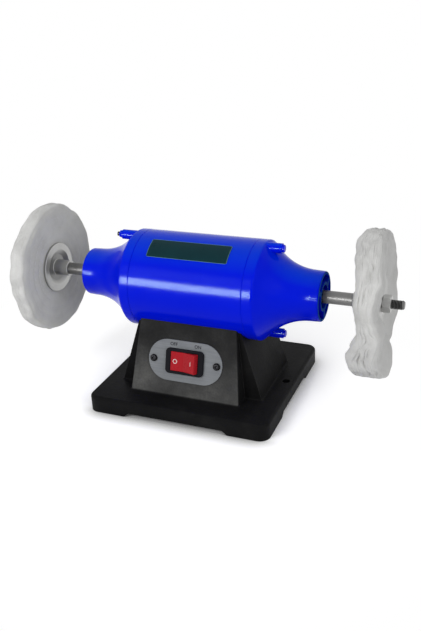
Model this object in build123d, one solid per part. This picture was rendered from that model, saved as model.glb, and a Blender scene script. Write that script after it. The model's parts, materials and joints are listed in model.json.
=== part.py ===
from build123d import *
import os
from math import cos, degrees, radians, sin, sqrt, tan

os.makedirs("parts", exist_ok=True)

# A bench polishing machine. Millimetres, +Z up, +X along the spindle, the switch faces -Y.
# The origin is on the bench, under the middle of the spindle.

# Clearances
press_gap = 0.02  # rings pressed on a shaft or into a housing
run_gap = 0.05  # a pin that turns in its hole
seat_gap = 0.1  # curved faces that are bolted together
hole_gap = 0.3  # a screw in its hole
slide_gap = 0.4  # a moving face that passes a fixed wall
overrun = 3.0  # how far a cut runs past the face that it opens

# Base plate, resting on four corner feet
base_width = 214.0
base_depth = 196.8
base_thick = 19.4
base_corner_r = 12.0
base_edge_r = 3.5
base_wall = 6.0
base_roof = 6.0
foot_width = 45.0
foot_depth = 52.0
arch_height = 5.0
arch_run = 6.0
bench_bolt_inset = 10.0
bench_bolt_r = 4.5
bench_boss_wall = 5.0

# Pedestal: a wide body and, in front of it, the block that carries the switch.
# Widths and depths are given where they meet the plate, and angles lean inwards.
axis_height = 129.5
body_half = 85.0
body_flank_lean = 17.6
body_front = 50.0
body_front_lean = 4.4
body_back = 45.0
block_half = 65.5
block_flank_lean = 5.6
block_front = 70.0
block_front_lean = 16.1
block_edge_r = 2.5
ped_wall = 5.0
ped_root_r = 2.0
saddle_wall = 9.0

# Bottom cover and its screws
cover_side_gap = 5.5
cover_end_gap = 4.4
cover_corner_r = 6.0
cover_thick = 1.5
cover_lift = 0.5
cover_boss_r = 5.0
cover_boss_inset = 9.0
cover_screw_r = 1.5
cover_screw_bite = 4.0
cover_head_r = 3.2
cover_head_thick = 2.2

# Wiring inside the pedestal
capacitor_r = 16.0
capacitor_length = 58.0
capacitor_side_gap = 17.0
capacitor_back_gap = 4.0
capacitor_edge_r = 2.0
clip_thick = 1.2
clip_width = 14.0
clip_foot = 9.0
clip_screw_r = 1.5
clip_head_r = 3.0
clip_head_thick = 2.0
terminal_length = 34.0
terminal_depth = 16.0
terminal_height = 12.0
terminal_gap = 11.7
terminal_ways = 3
terminal_well_r = 2.8
terminal_screw_thick = 2.0
terminal_screw_head_r = 2.5
sleeve_r = 4.6
sleeve_wall = 1.4
sleeve_gap = 3.0
sleeve_drop = 18.0
sleeve_rise = 3.0
grommet_x = -40.0
grommet_rise = 20.6
grommet_neck_r = 7.0
grommet_flange_r = 9.5
grommet_flange_thick = 3.0
grommet_bore_r = 3.75
grommet_edge_r = 1.0

# Motor tube and the bolts that hold it in the saddle
tube_r = 55.5
tube_wall = 2.5
tube_half = 66.0
joint_chamfer = 0.5
mount_bolt_gap = 3.0
mount_bolt_y = 16.0
mount_bolt_r = 3.0
mount_head_r = 5.0
mount_head_thick = 4.0
mount_washer_r = 6.4
mount_washer_thick = 1.2
mount_spot_depth = 0.4

# End bells, from the tube outwards
bell_spigot = 6.0
bell_wall = 4.0
bell_band = 9.5
bell_rim_r = 3.5
bell_flare = 52.5
bell_neck_r = 27.6
bell_neck = 9.2
bell_end_r = 27.3
bell_end_round = 1.5
flare_lead_share = 0.185
flare_tail_share = 0.613
cavity_end_wall = 25.7
cavity_neck_r = 25.0
bell_lip = 13.7
bell_lip_r = 13.0
hub_wall = 3.0
end_ring_wall = 3.0
pocket_depth = 9.0
rib_thick = 5.0
rib_angles = (-90.0, 30.0, 150.0)
tie_bolt_gap = 0.5
tie_boss_r = 5.5
tie_boss_length = 29.0
tie_bolt_r = 2.5
tie_head_r = 4.1
tie_head_thick = 2.6
tie_nut_flat = 7.6
tie_nut_thick = 3.6
tie_bolt_stand = 3.2

# Ball bearings
bearing_bore_r = 7.5
bearing_outer_r = 17.5
bearing_width = 11.0
ball_r = 2.9
ball_count = 8
race_gap = 0.03
shoulder_share = 0.72
shield_thick = 0.4
preload_thick = 0.6
preload_width = 2.4

# Stator and rotor
stator_half = 32.0
slot_count = 24
slot_width = 3.8
slot_mouth = 1.6
stator_yoke = 9.7
slot_depth = 9.5
tooth_tip = 1.8
turn_length = 17.0
turn_rise = 2.0
turn_drop = 0.6
turn_edge_r = 4.0
winding_gap = 0.2
air_gap = 0.4
end_ring_length = 7.0
end_ring_depth = 11.4
end_ring_rim = 1.2
fin_count = 10
fin_length = 7.0
fin_thick = 2.0
fin_height = 7.0

# Shaft
shaft_rotor_r = 11.0
shaft_step = 1.0
shaft_reach_r = 7.0
shaft_reach = 31.3
shaft_end_r = 5.0
shaft_chamfer = 1.0

# What is clamped on each end of the shaft, from the shoulder outwards
collar_r = 9.25
collar_length = 16.0
flange_r = 29.5
flange_thick = 3.5
flange_edge = 1.7
flange_dish = 1.3
flange_land = 5.0
outer_flange_thick = 3.0
cloth_hub = 8.5
wheel_r = 75.0
wheel_rim_shift = 2.0
sewn_rim_thick = 19.5
sewn_rim_round = 4.5
sewn_rings = 4
sewn_puff = 0.7
loose_rim_thick = 30.0
loose_rim_round = 9.0
loose_puff = 2.0
nut_flat = 16.5
nut_thick = 8.5
thread_stand = 13.5

# Label plate on the motor, bare
label_length = 94.0
label_x = -2.0
label_thick = 0.6
label_lean = 29.7
label_height = 24.604
label_corner_r = 2.0

# Switch on the leaning front face, at a share of the way up from the plate to the motor
switch_up_share = 0.7232
plate_length = 88.0
plate_height = 46.4
plate_thick = 1.2
plate_screw_inset = 6.3
plate_screw_r = 2.0
plate_screw_bite = 4.0
plate_head_r = 4.1
plate_head_thick = 2.2
bezel_lip_x = 2.7
bezel_lip_y = 1.85
bezel_thick = 3.2
bezel_corner_r = 2.6
bezel_chamfer = 0.8
switch_wall = 3.2
switch_depth = 26.0
rocker_r = 16.2
rocker_height = 21.6
rocker_crest = 3.0
rocker_skirt = 5.0
rocker_throw = 10.0
rocker_edge_r = 0.7
pivot_depth = 2.8
pivot_r = 1.5
pivot_length = 1.6
well_depth = 10.0
column_count = 2
row_count = 2
blade_pitch_x = 20.0
blade_pitch_y = 9.0
blade_width = 6.3
blade_thick = 0.8
blade_length = 8.0

# Values that follow from the ones above
plate_under = base_thick - base_roof
bench_bolt_spacing = base_width - 2 * bench_bolt_inset
cover_z = arch_height + cover_lift
cover_top = cover_z + cover_thick
cover_width = bench_bolt_spacing - 2 * (bench_bolt_r + bench_boss_wall + cover_side_gap)
cover_depth = base_depth - 2 * (base_wall + cover_end_gap)
clip_reach = capacitor_r + seat_gap + clip_thick + clip_foot
capacitor_x = body_half - ped_wall - capacitor_side_gap - capacitor_length / 2
capacitor_y = body_back - ped_wall - capacitor_back_gap - capacitor_r
terminal_y = capacitor_y - clip_reach - terminal_gap - terminal_depth / 2
grommet_z = base_thick + grommet_rise
tube_bore = tube_r - tube_wall
mount_bolt_x = stator_half + mount_bolt_gap + mount_bolt_r
sleeve_x = -mount_bolt_x
sleeve_y = mount_bolt_y + mount_washer_r + sleeve_gap + sleeve_r
rim_x = tube_half + bell_band
neck_x = rim_x + bell_rim_r + bell_flare
bell_end_x = neck_x + bell_neck
seat_x = bell_end_x - bell_lip
tie_boss_x = tube_half + tie_boss_length
tie_circle_r = tube_bore - tie_bolt_r - tie_bolt_gap
ball_circle_r = (bearing_bore_r + bearing_outer_r) / 2
inner_shoulder_r = ball_circle_r - shoulder_share * ball_r
outer_shoulder_r = ball_circle_r + shoulder_share * ball_r
slot_floor_r = tube_bore - stator_yoke
stator_bore = slot_floor_r - slot_depth - tooth_tip
rotor_r = stator_bore - air_gap
shaft_body_r = bearing_bore_r + shaft_step
shaft_shoulder_x = bell_end_x + shaft_reach
flange_x = shaft_shoulder_x + collar_length
cloth_x = flange_x + flange_thick
cloth_out_x = cloth_x + cloth_hub
nut_x = cloth_out_x + outer_flange_thick
nut_out_x = nut_x + nut_thick
shaft_half = nut_out_x + thread_stand
front_lean = radians(block_front_lean)
switch_up = switch_up_share * (axis_height - tube_r - base_thick) / cos(front_lean)
switch_plane = Plane(
    origin=(0, -block_front + switch_up * sin(front_lean), base_thick + switch_up * cos(front_lean)),
    x_dir=(1, 0, 0),
    z_dir=(0, -cos(front_lean), sin(front_lean)),
)
bezel_top = plate_thick + bezel_thick
pivot_z = bezel_top - pivot_depth
well_width = 2 * (rocker_r + slide_gap)
well_height = rocker_height + 2 * slide_gap
switch_width = well_width + 2 * switch_wall
switch_height = rocker_height + 2 * (pivot_length + run_gap)
bezel_width = switch_width + 2 * bezel_lip_x
bezel_height = switch_height + 2 * bezel_lip_y
plate_screw_x = plate_length / 2 - plate_screw_inset


def along_x(sketch, x_low, x_high):
    # a sketch, drawn about the spindle, drawn out along it
    solid = extrude(Plane.YZ.offset(x_low) * sketch, x_high - x_low)
    return Pos(0, 0, axis_height) * solid


def rod_on_axis(x_low, x_high, radius):
    return along_x(Circle(radius), x_low, x_high)


def sleeve_on_axis(x_low, x_high, bore_r, outer_r):
    return along_x(Circle(outer_r) - Circle(bore_r), x_low, x_high)


def turned(outline):
    # an outline in distance along and radius, turned about the spindle
    return Pos(0, 0, axis_height) * revolve(Plane.XZ * make_face(outline), Axis.X)


def on_side(side, right_piece):
    return right_piece if side > 0 else mirror(right_piece, about=Plane.YZ)


def standing(x, y, z_low, z_high, radius):
    return Pos(x, y, z_low) * extrude(Circle(radius), z_high - z_low)


def on_switch(piece):
    return switch_plane.location * piece


def saddle_height(radius, y):
    # height of a round surface about the spindle, below it
    return axis_height - sqrt(radius**2 - y**2)


def corners(x_reach, y_reach):
    return [(x, y) for x in (-x_reach, x_reach) for y in (-y_reach, y_reach)]


def hexagon(x_low, x_high, flat, bore_r):
    # a nut with both faces chamfered at the corners
    corner_r = flat / 2 / cos(radians(30))
    slope = (corner_r - flat / 2) * tan(radians(30))
    prism = along_x(RegularPolygon(flat / 2, 6, major_radius=False), x_low, x_high)
    barrel = turned(
        Polyline(
            (x_low, 0),
            (x_low, flat / 2),
            (x_low + slope, corner_r),
            (x_high - slope, corner_r),
            (x_high, flat / 2),
            (x_high, 0),
            close=True,
        )
    )
    return prism & barrel - rod_on_axis(x_low - overrun, x_high + overrun, bore_r)


# The base casting

def leaned(reach, lean, z):
    return reach - (z - base_thick) * tan(radians(lean))


def leaning_block(half, half_lean, front, front_lean, back, z_low, inset):
    # as high as the spindle, and the shape that its front and side outlines share
    x_low = leaned(half, half_lean, z_low) - inset
    x_high = leaned(half, half_lean, axis_height) - inset
    y_low = -leaned(front, front_lean, z_low) + inset
    y_high = -leaned(front, front_lean, axis_height) + inset
    from_front = Polyline(
        (-x_low, z_low), (x_low, z_low), (x_high, axis_height), (-x_high, axis_height), close=True
    )
    y_back = back - inset
    from_side = Polyline(
        (y_low, z_low), (y_back, z_low), (y_back, axis_height), (y_high, axis_height), close=True
    )
    along_depth = extrude(Plane.XZ * make_face(from_front), base_depth, both=True)
    across_width = extrude(Plane.YZ * make_face(from_side), base_width, both=True)
    return along_depth & across_width


def pedestal_body(z_low, inset):
    return leaning_block(body_half, body_flank_lean, body_front, body_front_lean, body_back, z_low, inset)


def switch_block(z_low, inset):
    return leaning_block(block_half, block_flank_lean, block_front, block_front_lean, 0, z_low, inset)


def arch_cut(span, across):
    # the gap between two feet, cut right across the plate
    low = span / 2
    outline = Polyline(
        (-low, 0), (-low + arch_run, arch_height), (low - arch_run, arch_height), (low, 0), close=True
    )
    return extrude(Plane.XZ * make_face(outline), across / 2 + overrun, both=True)


def on_plate_top(edge):
    # where the pedestal stands on the plate, clear of the plate's own rounded edge
    place = edge.center()
    in_width = abs(place.X) < base_width / 2 - base_edge_r - base_wall
    in_depth = abs(place.Y) < base_depth / 2 - base_edge_r - base_wall
    return in_width and in_depth and abs(place.Z - base_thick) < press_gap


def make_base_casting():
    plate = extrude(RectangleRounded(base_width, base_depth, base_corner_r), base_thick)
    plate = fillet(plate.faces().sort_by(Axis.Z)[-1].edges(), base_edge_r)
    block = switch_block(plate_under, 0)
    upright = [e for e in block.edges() if abs(e.tangent_at(0).Z) > sin(front_lean)]
    block = fillet(ShapeList(upright).sort_by(Axis.Y)[:2], block_edge_r)
    casting = plate + pedestal_body(plate_under, 0) + block
    root = [e for e in casting.edges() if e.bounding_box().size.Z < press_gap and on_plate_top(e)]
    casting = fillet(root, ped_root_r)
    casting -= rod_on_axis(-base_width, base_width, tube_r + seat_gap)

    inside = pedestal_body(plate_under - overrun, ped_wall) + switch_block(plate_under - overrun, ped_wall)
    inside -= rod_on_axis(-base_width, base_width, tube_r + saddle_wall)
    under = RectangleRounded(
        base_width - 2 * base_wall, base_depth - 2 * base_wall, base_corner_r - base_wall
    )
    casting -= inside + extrude(under, plate_under)
    casting -= arch_cut(base_width - 2 * foot_width, base_depth)
    casting -= Rot(0, 0, 90) * arch_cut(base_depth - 2 * foot_depth, base_width)

    for x in (-bench_bolt_spacing / 2, bench_bolt_spacing / 2):
        casting += standing(x, 0, arch_height, base_thick - base_edge_r, bench_bolt_r + bench_boss_wall)
        casting -= standing(x, 0, arch_height - overrun, base_thick + overrun, bench_bolt_r)
    for x, y in cover_screw_places():
        hole_top = cover_top + cover_screw_bite + hole_gap
        casting += standing(x, y, cover_top, plate_under + base_roof / 2, cover_boss_r)
        casting -= standing(x, y, cover_top, hole_top, cover_screw_r + press_gap)

    opening = Rectangle(switch_width + 2 * hole_gap, switch_height + 2 * hole_gap)
    opening += plate_screw_holes(plate_screw_r + press_gap)
    casting -= on_switch(extrude(opening, ped_wall, both=True))
    for x, y in corners(mount_bolt_x, mount_bolt_y):
        casting -= standing(x, y, plate_under, mount_seat_z(), mount_washer_r + slide_gap)
        casting -= standing(x, y, plate_under, axis_height, mount_bolt_r + hole_gap)
    casting -= standing(sleeve_x, sleeve_y, base_thick, axis_height, sleeve_r + hole_gap)
    casting -= grommet_at(extrude(Circle(grommet_neck_r), ped_wall + overrun, both=True))
    return casting


# The cover and the wiring

def cover_screw_places():
    return corners(cover_width / 2 - cover_boss_inset, cover_depth / 2 - cover_boss_inset)


def make_bottom_cover():
    sheet = RectangleRounded(cover_width, cover_depth, cover_corner_r)
    for x, y in cover_screw_places():
        sheet -= Pos(x, y) * Circle(cover_screw_r + hole_gap)
    for x, y in clip_screw_places():
        sheet -= Pos(x, y) * Circle(clip_screw_r + press_gap)
    return Pos(0, 0, cover_z) * extrude(sheet, cover_thick)


def domed_screw(shank_r, shank_length, head_r, head_thick):
    # a screw with its head above z = 0 and its shank below
    dome = fillet(extrude(Circle(head_r), head_thick).faces().sort_by(Axis.Z)[-1].edges(), head_thick / 2)
    return dome + Pos(0, 0, -shank_length) * extrude(Circle(shank_r), shank_length)


def make_cover_screws():
    screw = domed_screw(cover_screw_r, cover_thick + cover_screw_bite, cover_head_r, cover_head_thick)
    return [Pos(x, y, cover_z) * Rot(180, 0, 0) * screw for x, y in cover_screw_places()]


def capacitor_axis_z():
    return cover_top + capacitor_r + seat_gap


def make_run_capacitor():
    can = extrude(Circle(capacitor_r), capacitor_length / 2, both=True)
    can = fillet(can.edges().filter_by(GeomType.CIRCLE), capacitor_edge_r)
    return Pos(capacitor_x, capacitor_y, capacitor_axis_z()) * Rot(0, 90, 0) * can


def clip_screw_places():
    reach = clip_reach - clip_foot / 2
    return [(capacitor_x, capacitor_y - reach), (capacitor_x, capacitor_y + reach)]


def make_capacitor_clip():
    bore_r = capacitor_r + seat_gap
    strap_r = bore_r + clip_thick
    drop = capacitor_axis_z() - cover_top
    strap = Circle(strap_r) + Pos(0, -drop / 2) * Rectangle(2 * strap_r, drop)
    strap += Pos(0, clip_thick / 2 - drop) * Rectangle(2 * clip_reach, clip_thick)
    strap -= Circle(bore_r) + Pos(0, -drop / 2) * Rectangle(2 * bore_r, drop)
    clip = extrude(Plane.YZ * strap, clip_width / 2, both=True)
    clip = Pos(capacitor_x, capacitor_y, capacitor_axis_z()) * clip
    strap_foot_z = cover_top + clip_thick
    for x, y in clip_screw_places():
        clip -= standing(x, y, cover_top, strap_foot_z, clip_screw_r + hole_gap)
    below = extrude(Rectangle(cover_width, cover_depth), cover_top)
    return clip - below


def make_clip_screws():
    screw = domed_screw(clip_screw_r, clip_thick + cover_thick, clip_head_r, clip_head_thick)
    return [Pos(x, y, cover_top + clip_thick) * screw for x, y in clip_screw_places()]


def terminal_places():
    pitch = terminal_length / terminal_ways
    first = capacitor_x - pitch * (terminal_ways - 1) / 2
    rows = (terminal_y - terminal_depth / 4, terminal_y + terminal_depth / 4)
    return [(first + pitch * way, y) for way in range(terminal_ways) for y in rows]


def make_terminal_block():
    block = Pos(capacitor_x, terminal_y, cover_top) * extrude(
        Rectangle(terminal_length, terminal_depth), terminal_height
    )
    well_floor = cover_top + terminal_height / 2
    for x, y in terminal_places():
        block -= standing(x, y, well_floor, cover_top + terminal_height + overrun, terminal_well_r)
    return block


def make_terminal_screws():
    low = cover_top + terminal_height / 2
    return [
        standing(x, y, low, low + terminal_screw_thick, terminal_screw_head_r) for x, y in terminal_places()
    ]


def make_lead_sleeve():
    low = saddle_height(tube_r + saddle_wall, sleeve_y) - sleeve_drop
    high = saddle_height(tube_bore, sleeve_y) + sleeve_rise
    wall = Circle(sleeve_r) - Circle(sleeve_r - sleeve_wall)
    return Pos(sleeve_x, sleeve_y, low) * extrude(wall, high - low)


def grommet_at(piece):
    # along +Y, from the pedestal's back face
    return Pos(grommet_x, body_back, grommet_z) * Rot(-90, 0, 0) * piece


def make_cord_grommet():
    neck = Pos(0, 0, -ped_wall) * extrude(Circle(grommet_neck_r - seat_gap), ped_wall)
    flange = extrude(Circle(grommet_flange_r), grommet_flange_thick)
    flange = fillet(flange.edges().sort_by(Axis.Z)[-1], grommet_edge_r)
    grommet = neck + flange + Pos(0, 0, -ped_wall - grommet_flange_thick) * extrude(
        Circle(grommet_flange_r), grommet_flange_thick
    )
    return grommet_at(grommet - extrude(Circle(grommet_bore_r), body_back, both=True))


# The motor's fixed parts

def mount_seat_z():
    # the flat seat that the washers bear on, spot-faced in the saddle's curved underside
    return saddle_height(tube_r + saddle_wall, mount_bolt_y + mount_washer_r + slide_gap) + mount_spot_depth


def make_motor_tube():
    tube = sleeve_on_axis(-tube_half, tube_half, tube_bore, tube_r)
    rims = [e for e in tube.edges().filter_by(GeomType.CIRCLE) if e.radius > tube_r - press_gap]
    tube = chamfer(rims, joint_chamfer)
    for x, y in corners(mount_bolt_x, mount_bolt_y):
        tube -= standing(x, y, 0, axis_height, mount_bolt_r + press_gap)
    return tube - standing(sleeve_x, sleeve_y, 0, axis_height, sleeve_r + hole_gap)


def make_mount_washers():
    ring = extrude(Circle(mount_washer_r) - Circle(mount_bolt_r + hole_gap), mount_washer_thick)
    low = mount_seat_z() - mount_washer_thick
    return [Pos(x, y, low) * ring for x, y in corners(mount_bolt_x, mount_bolt_y)]


def make_mount_bolts():
    seat = mount_seat_z() - mount_washer_thick
    tip = saddle_height(tube_bore, mount_bolt_y)
    bolt = Pos(0, 0, seat - mount_head_thick) * extrude(
        RegularPolygon(mount_head_r, 6, major_radius=False), mount_head_thick
    )
    bolt += standing(0, 0, seat - mount_head_thick, tip, mount_bolt_r)
    return [Pos(x, y, 0) * bolt for x, y in corners(mount_bolt_x, mount_bolt_y)]


def flare(x_low, r_low, x_high, r_high):
    # the bell's swept side: it falls from the rim at 45 degrees and runs out along the neck
    lead = flare_lead_share * (r_low - r_high)
    tail = flare_tail_share * (x_high - x_low)
    return Bezier(
        (x_low, r_low),
        (x_low + lead, r_low - lead),
        (x_high - tail, r_high),
        (x_high, r_high),
    )


def bell_body():
    rim = CenterArc((rim_x, tube_r - bell_rim_r), bell_rim_r, 90, -45)
    flare_start = rim @ 1
    outline = [
        Polyline(
            (tube_half, 0),
            (tube_half, tube_r - joint_chamfer),
            (tube_half + joint_chamfer, tube_r),
            (rim_x, tube_r),
        ),
        rim,
        flare(flare_start.X, flare_start.Y, neck_x, bell_neck_r),
        Line((neck_x, bell_neck_r), (bell_end_x - bell_end_round, bell_end_r)),
        CenterArc((bell_end_x - bell_end_round, bell_end_r - bell_end_round), bell_end_round, 90, -90),
        Polyline((bell_end_x, bell_end_r - bell_end_round), (bell_end_x, 0), (tube_half, 0)),
    ]
    return turned(outline)


def bell_cavity():
    cavity_r = tube_r - tube_wall - bell_wall
    cavity_end_x = bell_end_x - cavity_end_wall
    low_x = tube_half - bell_spigot - overrun
    outline = [
        Polyline((low_x, 0), (low_x, cavity_r), (rim_x, cavity_r)),
        flare(rim_x, cavity_r, cavity_end_x, cavity_neck_r),
        Polyline((cavity_end_x, cavity_neck_r), (cavity_end_x, 0), (low_x, 0)),
    ]
    return turned(outline)


def bell_pockets():
    # the open end: three pockets between the hub and the end ring, parted by three ribs
    ring_r = bell_end_r - end_ring_wall
    pockets = Circle(ring_r) - Circle(bell_lip_r + hub_wall)
    for angle in rib_angles:
        pockets -= Rot(0, 0, angle) * Pos(ring_r / 2, 0) * Rectangle(ring_r, rib_thick)
    return along_x(pockets, bell_end_x - pocket_depth, bell_end_x + overrun)


def tie_places():
    # above and below the spindle, with local x pointing outwards
    return [Rot(0, 0, angle) * Pos(tie_circle_r, 0) for angle in (90, -90)]


def make_end_bell(side):
    bell = bell_body() + rod_on_axis(tube_half - bell_spigot, tube_half, tube_bore - seat_gap)
    for place in tie_places():
        bell += along_x(place * Circle(tie_boss_r), tube_half, tie_boss_x)
    bell -= bell_cavity()
    bell -= rod_on_axis(tube_half, seat_x, bearing_outer_r + press_gap)
    bell -= rod_on_axis(tube_half, bell_end_x + overrun, bell_lip_r)
    bell -= bell_pockets()
    for place in tie_places():
        bell -= along_x(place * Circle(tie_bolt_r + hole_gap), 0, tie_boss_x + overrun)
    return on_side(side, bell)


def make_tie_bolts():
    rod_end = -tie_boss_x - tie_nut_thick - tie_bolt_stand
    bolts = []
    for place in tie_places():
        rod = along_x(place * Circle(tie_bolt_r), rod_end, tie_boss_x)
        head = along_x(place * Circle(tie_head_r), tie_boss_x, tie_boss_x + tie_head_thick)
        head = fillet(head.faces().sort_by(Axis.X)[-1].edges(), tie_head_thick / 3)
        bolts.append(rod + head)
    return bolts


def make_tie_bolt_nuts():
    ring = RegularPolygon(tie_nut_flat / 2, 6, major_radius=False) - Circle(tie_bolt_r + press_gap)
    return [along_x(place * ring, -tie_boss_x - tie_nut_thick, -tie_boss_x) for place in tie_places()]


def slot_sketch(inset):
    # one stator slot, wide in the tooth and rounded at its floor
    width = slot_width - 2 * inset
    low_r = stator_bore + tooth_tip + inset
    high_r = slot_floor_r - inset - width / 2
    slot = Pos((low_r + high_r) / 2, 0) * Rectangle(high_r - low_r, width)
    return slot + Pos(high_r, 0) * Circle(width / 2)


def make_stator_core():
    core = Circle(tube_bore - press_gap) - Circle(stator_bore)
    mouth = Pos(stator_bore, 0) * Rectangle(4 * tooth_tip, slot_mouth)
    for turn in range(slot_count):
        core -= Rot(0, 0, (turn + 0.5) * 360 / slot_count) * (slot_sketch(0) + mouth)
    notch_r = tie_bolt_r + hole_gap
    notch = Circle(notch_r) + Pos(tube_wall, 0) * Rectangle(2 * tube_wall, 2 * notch_r)
    for place in tie_places():
        core -= place * notch
    return along_x(core, -stator_half, stator_half)


def make_stator_windings():
    low_r = stator_bore + tooth_tip - turn_drop
    high_r = slot_floor_r + turn_rise
    bars = Sketch()
    for turn in range(slot_count):
        bars += Rot(0, 0, (turn + 0.5) * 360 / slot_count) * slot_sketch(winding_gap)
    winding = along_x(bars, -stator_half - turn_length / 2, stator_half + turn_length / 2)
    start = stator_half + winding_gap
    ring = RectangleRounded(turn_length, high_r - low_r, turn_edge_r)
    for x in (-start - turn_length / 2, start + turn_length / 2):
        winding += turned((Pos(x, (low_r + high_r) / 2) * ring).edges())
    return winding


# Bearings, right-hand one first and mirrored for the left

def bearing_x(side):
    # inner face of a bearing: the right one leaves room for the preload washer
    return seat_x - bearing_width - (preload_thick if side > 0 else 0)


def race_groove(side):
    middle = bearing_x(side) + bearing_width / 2
    groove = Rot(0, 90, 0) * Torus(ball_circle_r, ball_r + race_gap)
    return Pos(middle, 0, axis_height) * groove


def make_bearing_outer(side):
    low = bearing_x(side)
    ring = sleeve_on_axis(low, low + bearing_width, outer_shoulder_r, bearing_outer_r)
    return on_side(side, ring - race_groove(side))


def make_bearing_inner(side):
    low = bearing_x(side)
    ring = sleeve_on_axis(low, low + bearing_width, bearing_bore_r, inner_shoulder_r)
    return on_side(side, ring - race_groove(side))


def make_bearing_balls(side):
    middle = bearing_x(side) + bearing_width / 2
    balls = []
    for turn in range(ball_count):
        place = Rot(turn * 360 / ball_count, 0, 0) * Pos(0, 0, ball_circle_r)
        balls.append(Pos(middle, 0, axis_height) * place * Sphere(ball_r))
    return [on_side(side, ball) for ball in balls]


def make_bearing_shields():
    shields = []
    for side in (-1, 1):
        low = bearing_x(side)
        for x in (low + shield_thick, low + bearing_width - 2 * shield_thick):
            ring = sleeve_on_axis(
                x, x + shield_thick, inner_shoulder_r + slide_gap, outer_shoulder_r - press_gap
            )
            shields.append(on_side(side, ring))
    return shields


def make_preload_washer():
    low = bearing_x(1) + bearing_width
    return sleeve_on_axis(low, seat_x, bearing_outer_r - preload_width, bearing_outer_r - seat_gap)


# What turns

def make_shaft():
    steps = [
        (stator_half, shaft_rotor_r),
        (bearing_x(1), shaft_body_r),
        (seat_x, bearing_bore_r - press_gap),
        (shaft_shoulder_x, shaft_reach_r),
        (shaft_half, shaft_end_r),
    ]
    shaft = Part()
    for side in (-1, 1):
        low = 0
        for high, radius in steps:
            if radius == shaft_body_r:
                high = bearing_x(side)
            piece = rod_on_axis(low, high, radius)
            shaft += on_side(side, piece)
            low = high
    ends = shaft.edges().filter_by(GeomType.CIRCLE).sort_by(Axis.X)
    return chamfer([ends[0], ends[-1]], shaft_chamfer)


def make_rotor_core():
    return sleeve_on_axis(-stator_half, stator_half, shaft_rotor_r + press_gap, rotor_r)


def make_rotor_end_rings():
    ring_r = rotor_r - end_ring_rim
    ring = sleeve_on_axis(stator_half, stator_half + end_ring_length, ring_r - end_ring_depth, ring_r)
    fin_r = ring_r - fin_height / 2
    fins = Sketch()
    for turn in range(fin_count):
        fins += Rot(0, 0, turn * 360 / fin_count) * Pos(fin_r, 0) * Rectangle(fin_height, fin_thick)
    fin_low = stator_half + end_ring_length / 2
    fin_high = stator_half + end_ring_length + fin_length
    ring += along_x(fins, fin_low, fin_high) & rod_on_axis(fin_low, fin_high, ring_r)
    return [ring, mirror(ring, about=Plane.YZ)]


def make_inner_flange(side):
    bore_r = shaft_end_r + run_gap
    rim_x_low = cloth_x - flange_edge
    outline = Polyline(
        (shaft_shoulder_x, bore_r),
        (shaft_shoulder_x, collar_r),
        (flange_x, collar_r),
        (rim_x_low, flange_r - flange_land),
        (rim_x_low, flange_r),
        (cloth_x, flange_r),
        (cloth_x, flange_r - flange_land),
        (cloth_x - flange_dish, collar_r),
        (cloth_x - flange_dish, bore_r),
        close=True,
    )
    return on_side(side, turned(outline))


def make_outer_flange(side):
    bore_r = shaft_end_r + run_gap
    rim_x_high = cloth_out_x + flange_edge
    outline = Polyline(
        (cloth_out_x + flange_dish, bore_r),
        (cloth_out_x + flange_dish, collar_r),
        (cloth_out_x, flange_r - flange_land),
        (cloth_out_x, flange_r),
        (rim_x_high, flange_r),
        (rim_x_high, flange_r - flange_land),
        (nut_x, nut_flat / 2),
        (nut_x, bore_r),
        close=True,
    )
    return on_side(side, turned(outline))


def cloth_face(rim_thick, rim_round, ring_count, puff, out):
    # one face of a wheel from the clamped hub to the rim, puffed between its rows of stitches
    hub_face = cloth_out_x if out > 0 else cloth_x
    rim_middle = (cloth_x + cloth_out_x) / 2 + wheel_rim_shift
    rim_face = rim_middle + out * (rim_thick / 2 - puff)
    rim_start_r = wheel_r - rim_round
    points = []
    for row in range(ring_count + 1):
        share = row / ring_count
        face = hub_face + share * (2 - share) * (rim_face - hub_face)
        points.append((face, flange_r + share * (rim_start_r - flange_r)))
    edges = [Line((hub_face, shaft_end_r + run_gap), points[0])]
    for low, high in zip(points, points[1:]):
        middle = ((low[0] + high[0]) / 2 + out * puff, (low[1] + high[1]) / 2)
        edges.append(ThreePointArc(low, middle, high))
    corner = (points[-1][0] - out * rim_round, wheel_r)
    edges.append(RadiusArc(points[-1], corner, -out * rim_round))
    return edges, corner


def make_buff_wheel(side, rim_thick, rim_round, ring_count, puff):
    inner_edges, inner_rim = cloth_face(rim_thick, rim_round, ring_count, puff, -1)
    outer_edges, outer_rim = cloth_face(rim_thick, rim_round, ring_count, puff, 1)
    bore_r = shaft_end_r + run_gap
    outline = inner_edges + outer_edges
    outline.append(Line(inner_rim, outer_rim))
    outline.append(Line((cloth_x, bore_r), (cloth_out_x, bore_r)))
    return on_side(side, turned(outline))


def make_spindle_nut(side):
    return on_side(side, hexagon(nut_x, nut_out_x, nut_flat, shaft_end_r + press_gap))


# The label plate and the switch

def make_label_plate():
    low_r = tube_r + press_gap
    label_arc = degrees(label_height / tube_r)
    start = 90 + label_lean - label_arc / 2
    ends = [(cos(radians(a)), sin(radians(a))) for a in (start, start + label_arc)]
    outline = [
        CenterArc((0, 0), low_r, start, label_arc),
        CenterArc((0, 0), low_r + label_thick, start, label_arc),
    ]
    for c, s in ends:
        outline.append(Line((low_r * c, low_r * s), ((low_r + label_thick) * c, (low_r + label_thick) * s)))
    label = along_x(make_face(outline), label_x - label_length / 2, label_x + label_length / 2)
    short = [e for e in label.edges() if e.length < 2 * label_thick]
    return fillet(short, label_corner_r)


def plate_screw_holes(radius):
    return Pos(-plate_screw_x, 0) * Circle(radius) + Pos(plate_screw_x, 0) * Circle(radius)


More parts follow.
